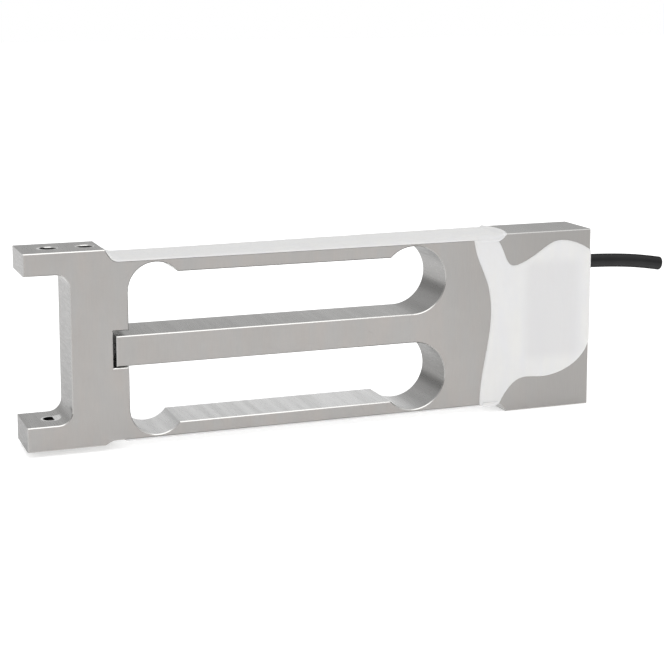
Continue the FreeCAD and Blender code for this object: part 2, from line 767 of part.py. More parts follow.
def make_top_coating(embedded):
    """Silicone over the top flexures, from the live pad's ramp to a round end on the fixed pad."""
    body = doc.addObject("PartDesign::Body", "top_coating_blank")
    ramps = ramp_ends()
    live_top = "<base_foot_drop> + <flexure_span> + <live_pad_rise>"
    fixed_top = "<base_foot_drop> + <flexure_span> + <base_pad_rise>"
    pad_edge = "<length> - <base_pad_length>"
    start_x = "<live_pad_length> + <ramp_run> * <coating_thickness> / <live_pad_rise>"
    lower = [(start_x, f"{live_top} - <coating_thickness>"), ramps[0], ramps[1],
             (pad_edge, fixed_top), (f"{pad_edge} + <coating_overlap>", fixed_top)]
    upper = [(x, f"{z} + <coating_thickness>") for x, z in lower]
    sketch = new_sketch(body, "top_coating_sketch", "XZ_Plane")
    draw_outline(sketch, lower + upper[::-1])
    layer = through_feature(body, "PartDesign::Pad", "top_layer", sketch)
    bends = [(number(x), number(z)) for x, z in lower[1:3] + upper[1:3]]
    dress(body, "PartDesign::Fillet", "top_layer_bends", layer, cross_edges(layer, bends),
          "Radius", "<ramp_fillet>")
    at_live_end(body)
    trim = end_trim("top_coating_end", f"{pad_edge} + <coating_overlap>", 1, TOP_FACE)
    return carve("top_coating", body, embedded + [trim])


def make_bottom_coating(embedded):
    """Silicone over the bottom flexures, short of both feet."""
    body = doc.addObject("PartDesign::Body", "bottom_coating_blank")
    start = "<live_foot_length> + <ramp_run> + <underside_margin>"
    end = "<length> - <base_foot_length> - <ramp_run> - <underside_margin>"
    sketch = new_sketch(body, "bottom_coating_sketch", "XZ_Plane")
    draw_box(sketch, start, end, "<base_foot_drop> - <coating_thickness>", "<base_foot_drop>")
    through_feature(body, "PartDesign::Pad", "bottom_layer", sketch)
    at_live_end(body)
    low = "<base_foot_drop> - <coating_thickness>"
    trims = [end_trim("bottom_live_end", start, -1, low), end_trim("bottom_base_end", end, 1, low)]
    return carve("bottom_coating", body, embedded + trims)


def end_trim(name, tip, direction, low):
    """What is cut off a coating to bow its end out, in plan, towards +X or -X (direction)."""
    radius = "((<width> ^ 2 / 4 + <coating_bow> ^ 2) / (2 * <coating_bow>))"
    block = make_box(f"{name}_block", f"{tip} - <coating_bow>", "-<width>", low,
                     "2 * <coating_bow>", "2 * <width>", "<width>")
    core = doc.addObject("Part::Cylinder", f"{name}_core")
    bind(core, "Radius", radius)
    bind(core, "Height", "<width>")
    bind(core, "Placement.Base.x", f"{tip} - {direction} * {radius} - <length> / 2")
    bind(core, "Placement.Base.z", low)
    trim = doc.addObject("Part::Cut", name)
    trim.Base = block
    trim.Tool = core
    return trim


def smooth_edge(points):
    """Smooth curve through points of the front face."""
    curve = Part.BSplineCurve()
    curve.interpolate(points)
    return curve.toShape()


def make_side_coating(embedded):
    """Silicone on the front face: a stripe over the ribbons, widening over the pocket."""
    thick = size("coating_thickness")
    front, end = -number(HALF_WIDTH), size("length")
    wall, middle = number(POCKET_X), number(MID)
    low, high = size("base_foot_drop") - thick, number(TOP_FACE) + thick
    pocket_low = size("pocket_base")
    pocket_high = pocket_low + size("pocket_height")
    top_foot, bottom_foot = number(ramp_ends()[1][0]), number(ramp_ends()[2][0])

    flank = [Vector(bottom_foot + COAT_BOTTOM_EDGE[0], front, low)]
    flank += [Vector(wall + dx, front, middle + dz) for dx, dz in COAT_FLANK]
    flank.append(Vector(top_foot + COAT_TOP_EDGE[0], front, high))
    crest = [Vector(top_foot + COAT_TOP_EDGE[1], front, high)]
    crest += [Vector(wall + dx, front, pocket_high + dz) for dx, dz in COAT_CREST]
    crest.append(Vector(end, front, pocket_high + COAT_END_EDGE[1]))
    heel = [Vector(end, front, pocket_low + COAT_END_EDGE[0])]
    heel += [Vector(wall + dx, front, pocket_low + dz) for dx, dz in COAT_HEEL]
    heel.append(Vector(bottom_foot + COAT_BOTTOM_EDGE[1], front, low))

    edges = [smooth_edge(flank), Part.makeLine(flank[-1], crest[0]), smooth_edge(crest),
             Part.makeLine(crest[-1], heel[0]), smooth_edge(heel), Part.makeLine(heel[-1], flank[0])]
    outline = Part.Face(Part.Wire(edges))
    blank = make_feature("side_coating_blank", outline.extrude(Vector(0, -thick, 0)))
    return carve("side_coating", blank, embedded)


def check_document():
    """Stop if any object failed to compute."""
    for thing in doc.Objects:
        if {"Invalid", "Error"} & set(thing.State):
            raise RuntimeError(f"{thing.Name} did not compute: {thing.State}")


def write_step(pieces):
    """Write each sub-part to a file of its own."""
    os.makedirs("parts", exist_ok=True)
    for piece in pieces:
        shape = piece.Shape
        if shape.isNull() or not shape.isValid() or not shape.Solids:
            raise RuntimeError(f"{piece.Label} has no valid solid")
        shape.exportStep(f"parts/{piece.Label}.step")
        print(f"{piece.Label}: {len(shape.Solids)} solid, {shape.Volume:.2f} mm3")


spring_body = make_spring_body()
gauges = {place: make_gauge(*place) for place in GAUGES}
top_ribbon = make_ribbon("top", TOP_RIBBON_BENDS, "top_ribbon_height")
bottom_ribbon = make_ribbon("bottom", BOTTOM_RIBBON_BENDS, "bottom_ribbon_height")
board = make_trim_board()
cable, cores = make_cable()
seal = make_cable_seal()

top_stack = gauges["top", "live"] + gauges["top", "base"] + [top_ribbon]
bottom_stack = gauges["bottom", "live"] + gauges["bottom", "base"] + [bottom_ribbon]
ribbons = [top_ribbon, bottom_ribbon]
coatings = [
    make_top_coating(top_stack),
    make_bottom_coating(bottom_stack),
    make_side_coating(ribbons),
    make_pocket_filler(board + ribbons + cores),
]
doc.recompute()
check_document()
write_step([spring_body] + top_stack + bottom_stack + board + cable + cores + [seal] + coatings)
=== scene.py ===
"""Looks of a single point load cell: machined aluminium, hand-brushed white silicone, a black
cable, cut threads and every inner piece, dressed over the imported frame. Metres; +X runs from the
forked live end to the cable end, -Y is the face with the wiring pocket, +Z is up.
"""
import json
import logging
import math
from collections.abc import Callable, Iterable
from dataclasses import dataclass, field
from enum import Enum

import bmesh
import bpy
import numpy
from mathutils import Matrix, Vector, bvhtree, geometry, noise


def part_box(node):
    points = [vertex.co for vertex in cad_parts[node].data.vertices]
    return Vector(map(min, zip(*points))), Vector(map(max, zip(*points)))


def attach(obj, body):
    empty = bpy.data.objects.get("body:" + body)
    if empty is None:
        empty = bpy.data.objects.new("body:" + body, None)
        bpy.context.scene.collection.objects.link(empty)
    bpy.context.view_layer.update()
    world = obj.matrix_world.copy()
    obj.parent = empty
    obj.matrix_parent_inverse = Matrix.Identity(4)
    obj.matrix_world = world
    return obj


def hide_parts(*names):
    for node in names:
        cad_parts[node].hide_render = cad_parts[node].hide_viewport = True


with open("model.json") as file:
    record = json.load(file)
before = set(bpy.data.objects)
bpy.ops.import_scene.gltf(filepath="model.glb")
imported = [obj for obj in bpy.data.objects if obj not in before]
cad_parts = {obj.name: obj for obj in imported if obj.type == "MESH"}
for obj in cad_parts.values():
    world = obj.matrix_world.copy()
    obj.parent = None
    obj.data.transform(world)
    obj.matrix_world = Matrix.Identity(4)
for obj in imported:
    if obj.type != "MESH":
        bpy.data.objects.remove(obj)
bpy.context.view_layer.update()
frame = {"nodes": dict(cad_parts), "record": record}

MM = 0.001
log = logging.getLogger("load_cell")

Colour = tuple[float, float, float]
Point2 = tuple[float, float]
Socket = bpy.types.NodeSocket
WHITE: Colour = (1.0, 1.0, 1.0)


# ---- Node helpers ----


def rgba(colour: Colour) -> tuple[float, float, float, float]:
    """Colour with full opacity, as sockets take it."""
    return (*colour, 1.0)


class Graph:
    """Short spelling for building a node tree, where sockets are linked or set by name."""

    families = ("ShaderNode", "GeometryNode", "Node", "Function")

    def __init__(self, tree: bpy.types.NodeTree) -> None:
        """Keep the tree that nodes are added to."""
        self.tree = tree

    def node(self, kind: str, inputs: dict | None = None, **props: object) -> bpy.types.Node:
        """Add a node.

        Args:
            kind: Node type, without the leading "ShaderNode" for shader nodes.
            inputs: Socket name or index to a value, or to the output socket it is linked from.
            props: Plain properties of the node.

        Returns:
            The new node.
        """
        full = kind if kind.startswith(self.families) else f"ShaderNode{kind}"
        made = self.tree.nodes.new(full)
        for name, value in props.items():
            setattr(made, name, value)
        self.fill(made, inputs or {})
        return made

    def feed(self, socket: Socket, value: "Socket | float | tuple") -> None:
        """Link a socket from an output, or set its constant.

        Args:
            socket: Input to feed.
            value: Output to link it from, or its constant.
        """
        if isinstance(value, Socket):
            self.tree.links.new(value, socket)
        else:
            socket.default_value = value

    def fill(self, node: bpy.types.Node, inputs: "dict[str | int, Socket | float | tuple]") -> None:
        """Feed several inputs of a node."""
        for name, value in inputs.items():
            self.feed(node.inputs[name], value)

    def maths(self, operation: str, first: "Socket | float", second: "Socket | float" = 0.0) -> Socket:
        """Value of one arithmetic step."""
        return self.node("Math", {0: first, 1: second}, operation=operation).outputs[0]

    def product(self, first: "Socket | float", *others: "Socket | float") -> Socket:
        """Product of two or more values.

        Args:
            first: First value.
            others: Values to multiply it by in turn.

        Returns:
            The product, as a socket.
        """
        for other in others:
            first = self.maths("MULTIPLY", first, other)
        return first

    def ramp(self, value: Socket, low: float, high: float, out_low: float = 0.0,
             out_high: float = 1.0) -> Socket:
        """Carry a value smoothly from one range to another, held at its ends.

        Args:
            value: Value to carry.
            low: Where the ramp starts.
            high: Where it ends, which may lie below its start.
            out_low: Result at the start.
            out_high: Result at the end.

        Returns:
            The result's socket.
        """
        made = self.node("MapRange", {"Value": value, "From Min": low, "From Max": high,
                                      "To Min": out_low, "To Max": out_high},
                         interpolation_type="SMOOTHSTEP")
        return made.outputs["Result"]

    def mix(self, factor: "Socket | float", first: "Socket | Colour", second: "Socket | Colour") -> Socket:
        """Colour between two, by a factor."""
        first, second = (c if isinstance(c, Socket) else rgba(c) for c in (first, second))
        return self.node("Mix", {0: factor, 6: first, 7: second}, data_type="RGBA").outputs[2]

    def blend(self, factor: "Socket | float", first: "Socket | float", second: "Socket | float") -> Socket:
        """Value between two, by a factor."""
        return self.node("Mix", {0: factor, 2: first, 3: second}).outputs[0]

    def axes(self, vector: Socket) -> bpy.types.bpy_prop_collection:
        """X, Y and Z of a vector, by name."""
        return self.node("SeparateXYZ", {0: vector}).outputs

    def place(self) -> Socket:
        """Object coordinates."""
        return self.node("TexCoord").outputs["Object"]

    def normal(self) -> Socket:
        """Direction that the surface faces."""
        return self.node("NewGeometry").outputs["Normal"]

    def stretched(self, scale: tuple[float, float, float]) -> Socket:
        """Object coordinates multiplied by a scale along each axis."""
        made = self.node("VectorMath", {0: self.place(), 1: scale}, operation="MULTIPLY")
        return made.outputs["Vector"]

    def per_metre(self, millimetres: Socket) -> Socket:
        """Texture scale of a pattern whose size is given in millimetres."""
        return self.maths("DIVIDE", 1.0 / MM, millimetres)

    def noise(self, vector: Socket, scale: "Socket | float", detail: float = 3.0) -> Socket:
        """Fractal noise value at a vector."""
        made = self.node("TexNoise", {"Vector": vector, "Scale": scale, "Detail": detail})
        return made.outputs["Fac"]


def shader_group(name: str, inputs: dict[str, float], outputs: Iterable[str]) -> tuple[Graph, dict, dict]:
    """Empty node group of float sockets.

    Args:
        name: Name of the group.
        inputs: Input names and their defaults.
        outputs: Output names.

    Returns:
        The graph, the group's inputs by name as output sockets, and its outputs as input sockets.
    """
    tree = bpy.data.node_groups.new(name, "ShaderNodeTree")
    for label, value in inputs.items():
        socket = tree.interface.new_socket(label, in_out="INPUT", socket_type="NodeSocketFloat")
        socket.default_value = value
    for label in outputs:
        tree.interface.new_socket(label, in_out="OUTPUT", socket_type="NodeSocketFloat")
    graph = Graph(tree)
    start, end = graph.node("NodeGroupInput"), graph.node("NodeGroupOutput")
    return graph, {n: start.outputs[n] for n in inputs}, {n: end.inputs[n] for n in outputs}


def mottle_group() -> bpy.types.NodeTree:
    """Soft cloudy variation with a fine grain over it, both from 0 to 1.

    Returns:
        The node group.
    """
    graph, take, give = shader_group("mottle", {"Cloud size": 8.0, "Grain size": 0.25},
                                     ["Cloud", "Grain"])
    place = graph.place()
    for size, result, low, high in (("Cloud size", "Cloud", 0.32, 0.68), ("Grain size", "Grain", 0.2, 0.8)):
        texture = graph.noise(place, graph.per_metre(take[size]), 4.0)
        graph.feed(give[result], graph.ramp(texture, low, high))
    return graph.tree


def tool_mark_group() -> bpy.types.NodeTree:
    """Marks of a cutter whose axis lies across the body: bands along Y, and fine lines in them.

    Returns:
        The node group.
    """
    graph, take, give = shader_group("tool_marks", {"Band": 3.0, "Line": 0.35}, ["Bands", "Lines"])
    drawn = graph.stretched((1.0, 0.06, 1.0))
    for size, result, detail in (("Band", "Bands", 1.0), ("Line", "Lines", 3.0)):
        texture = graph.noise(drawn, graph.per_metre(take[size]), detail)
        graph.feed(give[result], graph.ramp(texture, 0.3, 0.7))
    return graph.tree


def brushing_group() -> bpy.types.NodeTree:
    """Fine parallel hairlines that run up the side faces, with broad soft streaks among them.

    Returns:
        The node group.
    """
    graph, take, give = shader_group("brushing", {"Hairline": 0.12, "Streak": 4.0},
                                     ["Hairlines", "Streaks"])
    for size, result, squeeze in (("Hairline", "Hairlines", 0.03), ("Streak", "Streaks", 0.22)):
        drawn = graph.stretched((1.0, 1.0, squeeze))
        texture = graph.noise(drawn, graph.per_metre(take[size]), 2.0)
        graph.feed(give[result], graph.ramp(texture, 0.25, 0.75))
    return graph.tree


def scratch_group() -> bpy.types.NodeTree:
    """Sparse handling scratches: thin dark lines where a cell pattern meets a patchy mask.

    Returns:
        The node group.
    """
    graph, take, give = shader_group("scratches", {"Spacing": 9.0, "Amount": 0.3}, ["Scratch"])
    place = graph.stretched((1.0, 1.0, 0.45))
    cells = graph.node("TexVoronoi", {"Vector": place, "Scale": graph.per_metre(take["Spacing"])},
                       feature="DISTANCE_TO_EDGE")
    line = graph.ramp(cells.outputs["Distance"], 0.0, 0.012, 1.0, 0.0)
    patch = graph.ramp(graph.noise(place, 110.0, 1.0), 0.62, 0.72)
    graph.feed(give["Scratch"], graph.product(line, patch, take["Amount"]))
    return graph.tree


def weave_group() -> bpy.types.NodeTree:
    """Crossing strands, for braid and woven laminate, from 0 in the gaps to 1 on the strands.

    Returns:
        The node group.
    """
    graph, take, give = shader_group("weave", {"Pitch": 0.6}, ["Strand"])
    waves = []
    for turn in ((1.0, 1.0, 1.0), (1.0, -1.0, -1.0)):
        wave = graph.node("TexWave", {"Vector": graph.stretched(turn), "Distortion": 0.4,
                                      "Scale": graph.per_metre(take["Pitch"])}, bands_direction="DIAGONAL")
        waves.append(wave.outputs["Fac"])
    graph.feed(give["Strand"], graph.maths("MAXIMUM", *waves))
    return graph.tree


# ---- Finishes and materials ----


def tapped_holes() -> list[tuple[Vector, float]]:
    """Centre and tapping radius of each tapped hole that the record states as a mount.

    Returns:
        A centre and a radius for each hole, in the record's order.
    """
    holes = []
    for mount in frame["record"]["mounts"]:
        dims, centre = mount["dims"], Vector(mount["pos_m"])
        if mount["kind"] == "threaded_hole":
            holes.append((centre, dims["r_mm"] * MM))
        elif mount["kind"] == "bolt_pattern":
            count = dims["count"]
            for k in range(count):
                shift = dims["spacing_x_mm"] * MM * (k - (count - 1) / 2)
                holes.append((centre + Vector((shift, 0.0, 0.0)), dims["hole_r_mm"] * MM))
    return holes


@dataclass(frozen=True)
class Finish:
    """Plain finish of one material.

    Args:
        name: Name of the material slot.
        base: First colour.
        shade: Colour that it mottles into.
        metallic: 1 for bare metal.
        roughness: Middle of the roughness, which the grain varies by 15 %.
        cloud: Size of the mottle in millimetres.
        grain: Size of the grain in millimetres.
        bump: Height of the grain in millimetres.
        coat: Weight of a clear coat.
        specular: Strength of the gloss.
        rim_roughness: Roughness where the surface turns away, or 0 for the same all over.
    """

    name: str
    base: Colour
    shade: Colour
    metallic: float = 0.0
    roughness: float = 0.5
    cloud: float = 4.0
    grain: float = 0.2
    bump: float = 0.02
    coat: float = 0.0
    specular: float = 0.5
    rim_roughness: float = 0.0


FINISHES = (
    Finish("black_jacket", (0.003, 0.003, 0.0035), (0.006, 0.006, 0.0065), roughness=0.34, cloud=6.0,
           grain=0.35, bump=0.006, specular=0.3, rim_roughness=0.95),
    Finish("red_insulation", (0.50, 0.015, 0.012), (0.36, 0.01, 0.01), roughness=0.4),
    Finish("black_insulation", (0.012, 0.012, 0.013), (0.025, 0.025, 0.026), roughness=0.4),
    Finish("green_insulation", (0.012, 0.26, 0.05), (0.01, 0.18, 0.035), roughness=0.4),
    Finish("white_insulation", (0.78, 0.78, 0.75), (0.66, 0.66, 0.62), roughness=0.4),
    Finish("copper", (0.80, 0.42, 0.24), (0.62, 0.28, 0.14), metallic=1.0, roughness=0.3, cloud=0.25,
           grain=0.08, bump=0.01),
    Finish("polyimide_film", (0.50, 0.22, 0.03), (0.38, 0.15, 0.02), roughness=0.25, coat=0.3),
    Finish("gauge_foil", (0.62, 0.50, 0.40), (0.52, 0.41, 0.32), metallic=1.0, roughness=0.32),
    Finish("solder_tab", (0.74, 0.70, 0.64), (0.60, 0.55, 0.48), metallic=1.0, roughness=0.28),
    Finish("board_copper", (0.78, 0.72, 0.60), (0.66, 0.58, 0.44), metallic=1.0, roughness=0.3),
    Finish("cut_thread", (0.30, 0.29, 0.28), (0.20, 0.19, 0.18), metallic=1.0, roughness=0.3, cloud=0.8,
           grain=0.12, bump=0.01),
    Finish("foam", (0.20, 0.20, 0.21), (0.12, 0.12, 0.13), roughness=0.9, cloud=1.2, grain=0.3, bump=0.15),
    Finish("black_rubber", (0.015, 0.015, 0.016), (0.03, 0.03, 0.03), roughness=0.6, bump=0.03),
)


@dataclass(frozen=True)
class SiliconeTones:
    """Colours of the silicone: brushed on, clouded, with painted shade on upward faces, and painted shade
    over the pocket.
    """

    warm: Colour = (0.725, 0.72, 0.705)
    cool: Colour = (0.70, 0.70, 0.71)
    cloud: Colour = (0.685, 0.68, 0.675)
    # Painted shade on upward faces.
    upper: Colour = (0.63, 0.63, 0.625)
    # Painted shade over the pocket.
    pocket_dip_and_shade: Colour = (0.645, 0.64, 0.645)


@dataclass(frozen=True)
class MetalTones:
    """Colours of the body's surfaces, as machining and handling leave them, with painted shade and painted
    highlights in some of them.
    """

    side_warm: Colour = (0.425, 0.402, 0.385)
    side_cool: Colour = (0.41, 0.402, 0.394)
    side_cloud: Colour = (0.375, 0.362, 0.35)
    # Painted shade towards the fixed end.
    side_fixed_end_shade: Colour = (0.34, 0.33, 0.32)
    milled_dull: Colour = (0.48, 0.475, 0.465)
    milled_bright: Colour = (0.54, 0.535, 0.525)
    # Painted shade towards the fixed end.
    milled_fixed_end_shade: Colour = (0.28, 0.275, 0.265)
    # Painted highlight: lit copies of the milled tones for the lower window.
    lower_beam_highlight_dull: Colour = (0.80, 0.80, 0.795)
    lower_beam_highlight_bright: Colour = (0.93, 0.93, 0.925)
    # Painted shade in the live bore.
    live_bore_shade: Colour = (0.27, 0.265, 0.26)
    # Painted shade in the fixed bores, darkest on their roof; the bands are tool marks.
    bore_roof_shade: Colour = (0.07, 0.069, 0.067)
    bore_wall_shade: Colour = (0.40, 0.395, 0.39)
    bore_bed_shade: Colour = (0.25, 0.247, 0.242)
    bore_bands: Colour = (0.20, 0.197, 0.193)
    # Painted shade on the live end's faces, darker towards the bottom.
    live_end_shade_low: Colour = (0.19, 0.187, 0.183)
    live_end_shade_high: Colour = (0.31, 0.305, 0.30)
    # Painted highlight on the broken edges, and a dimmer edge colour where they face the live end.
    edge_highlight: Colour = (0.62, 0.615, 0.60)
    end_edge_shade: Colour = (0.40, 0.395, 0.385)
    scratch: Colour = (0.25, 0.24, 0.23)
    # Painted shade in the tapped bores.
    tapped_bore_shade: Colour = (0.015, 0.015, 0.015)
    # Painted highlight round the live end's hole mouths.
    mouth_highlight: Colour = (0.95, 0.95, 0.94)


class Palette:
    """Makes each material once, from the shared node groups."""

    def __init__(self) -> None:
        """Make the shared groups, and every material from them."""
        self.mottle = mottle_group()
        self.tool_marks = tool_mark_group()
        self.brushing = brushing_group()
        self.scratches = scratch_group()
        self.weave = weave_group()
        self.made: dict[str, bpy.types.Material] = {}
        for finish in FINISHES:
            self.made[finish.name] = self.plain(finish)
        self.made["aluminium_body"] = BodyMetal(self).material
        self.made["white_silicone"] = self.silicone()
        self.made["braid"] = self.braid()
        self.made["ribbon_film"] = self.ribbon()
        self.made["board_laminate"] = self.laminate()
        self.made["resistor_ceramic"] = self.resistor()

    def start(self, name: str) -> tuple[bpy.types.Material, Graph, bpy.types.Node]:
        """New material with its graph and its Principled shader.

        Args:
            name: Name of the material.

        Returns:
            The material, its graph and its shader.
        """
        material = bpy.data.materials.new(name)
        material.use_nodes = True
        graph = Graph(material.node_tree)
        shader = next(n for n in material.node_tree.nodes if n.type == "BSDF_PRINCIPLED")
        return material, graph, shader

    def group(self, graph: Graph, tree: bpy.types.NodeTree, **inputs: float) -> bpy.types.bpy_prop_collection:
        """Put one of the shared groups into a graph.

        Args:
            graph: Graph of the material.
            tree: The group.
            inputs: Values of its inputs, where spaces in their names are written as underscores.

        Returns:
            The group's outputs.
        """
        made = graph.node("Group", node_tree=tree)
        for name, value in inputs.items():
            made.inputs[name.replace("_", " ")].default_value = value
        return made.outputs

    def relief(self, graph: Graph, shader: bpy.types.Node, height: Socket, millimetres: float) -> None:
        """Let a height stand out on the surface by a distance."""
        bump = graph.node("Bump", {"Height": height, "Strength": 1.0, "Distance": millimetres * MM})
        graph.feed(shader.inputs["Normal"], bump.outputs["Normal"])

    def plain(self, finish: Finish) -> bpy.types.Material:
        """Mottled, finely grained material from a finish.

        Args:
            finish: What it looks like.

        Returns:
            The material.
        """
        material, graph, shader = self.start(finish.name)
        mottle = self.group(graph, self.mottle, Cloud_size=finish.cloud, Grain_size=finish.grain)
        graph.feed(shader.inputs["Base Color"], graph.mix(mottle["Cloud"], finish.base, finish.shade))
        rough = graph.ramp(mottle["Grain"], 0.0, 1.0, finish.roughness * 0.85, finish.roughness * 1.15)
        if finish.rim_roughness:
            facing = graph.node("LayerWeight", {"Blend": 0.5}).outputs["Facing"]
            rough = graph.blend(graph.ramp(facing, 0.15, 0.75), rough, finish.rim_roughness)
        graph.fill(shader, {"Roughness": rough, "Metallic": finish.metallic, "Coat Weight": finish.coat,
                            "Specular IOR Level": finish.specular})
        self.relief(graph, shader, mottle["Grain"], finish.bump)
        return material

    def silicone(self, tones: SiliconeTones = SiliconeTones()) -> bpy.types.Material:
        """White silicone brushed on by hand: satin, a little translucent, with faint strokes, and painted
        shade on upward faces and over the pocket.

        Args:
            tones: Its colours.

        Returns:
            The material.
        """
        material, graph, shader = self.start("white_silicone")
        mottle = self.group(graph, self.mottle, Cloud_size=7.0, Grain_size=0.5)
        strokes = self.group(graph, self.brushing, Hairline=1.1, Streak=5.0)
        upward = graph.axes(graph.normal())["Z"]
        pocket_dip_and_shade = graph.node("Attribute", attribute_name="PocketShade", attribute_type="GEOMETRY").outputs["Fac"]
        colour = graph.mix(strokes["Streaks"], tones.warm, tones.cool)
        colour = graph.mix(graph.product(mottle["Cloud"], 0.4), colour, tones.cloud)
        # Painted shade on upward faces.
        colour = graph.mix(graph.ramp(upward, 0.5, 0.95, 0.0, 0.45), colour, tones.upper)
        # Painted shade over the pocket.
        colour = graph.mix(graph.product(pocket_dip_and_shade, 0.8), colour, tones.pocket_dip_and_shade)
        graph.fill(shader, {"Base Color": colour,
                            "Roughness": graph.ramp(strokes["Hairlines"], 0.0, 1.0, 0.42, 0.54),
                            "Subsurface Weight": 0.25, "Subsurface Radius": (1.0, 0.95, 0.9),
                            "Subsurface Scale": 0.8 * MM, "Specular IOR Level": 0.35})
        self.relief(graph, shader, graph.maths("ADD", strokes["Hairlines"], mottle["Cloud"]), 0.035)
        return material

    def braid(self) -> bpy.types.Material:
        """Tinned copper braid.

        Returns:
            The material.
        """
        material, graph, shader = self.start("braid")
        strand = self.group(graph, self.weave, Pitch=0.35)["Strand"]
        graph.fill(shader, {"Base Color": graph.mix(strand, (0.16, 0.13, 0.11), (0.72, 0.69, 0.66)),
                            "Metallic": 1.0, "Roughness": 0.34})
        self.relief(graph, shader, strand, 0.06)
        return material

    def ribbon(self) -> bpy.types.Material:
        """Amber flexible circuit with copper tracks that show through the film.

        Returns:
            The material.
        """
        material, graph, shader = self.start("ribbon_film")
        strand = self.group(graph, self.weave, Pitch=0.9)["Strand"]
        cloud = self.group(graph, self.mottle)["Cloud"]
        amber = graph.mix(cloud, (0.48, 0.21, 0.03), (0.38, 0.15, 0.02))
        tracked = graph.mix(graph.ramp(strand, 0.8, 0.9), amber, (0.62, 0.33, 0.12))
        graph.fill(shader, {"Base Color": tracked, "Roughness": 0.28, "Coat Weight": 0.3})
        return material

    def laminate(self) -> bpy.types.Material:
        """Green solder mask over woven glass, whose weave telegraphs through.

        Returns:
            The material.
        """
        material, graph, shader = self.start("board_laminate")
        strand = self.group(graph, self.weave, Pitch=0.5)["Strand"]
        graph.fill(shader, {"Base Color": graph.mix(strand, (0.012, 0.10, 0.035), (0.02, 0.16, 0.06)),
                            "Roughness": 0.3})
        self.relief(graph, shader, strand, 0.01)
        return material

    def resistor(self) -> bpy.types.Material:
        """Black glazed chip whose tinned end caps stand proud, told apart by their height.

        Returns:
            The material.
        """
        material, graph, shader = self.start("resistor_ceramic")
        cloud = self.group(graph, self.mottle, Cloud_size=0.6, Grain_size=0.1)["Cloud"]
        chip_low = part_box("span_resistor_a")[0].y
        height = graph.axes(graph.place())["Y"]
        cap = graph.ramp(height, chip_low + 0.02 * MM, chip_low + 0.04 * MM, 1.0, 0.0)
        glaze = graph.mix(cloud, (0.012, 0.012, 0.014), (0.03, 0.03, 0.032))
        graph.fill(shader, {"Base Color": graph.mix(cap, glaze, (0.72, 0.70, 0.66)), "Metallic": cap,
                            "Roughness": 0.25})
        return material

    def dress_nodes(self) -> None:
        """Give every CAD node the material of its slot in the record."""
        for part in frame["record"]["subparts"]:
            mesh = frame["nodes"][part["node"]].data
            mesh.materials.clear()
            mesh.materials.append(self.made[part["material_slot"]])
            log.info("%s wears %s", part["node"], part["material_slot"])


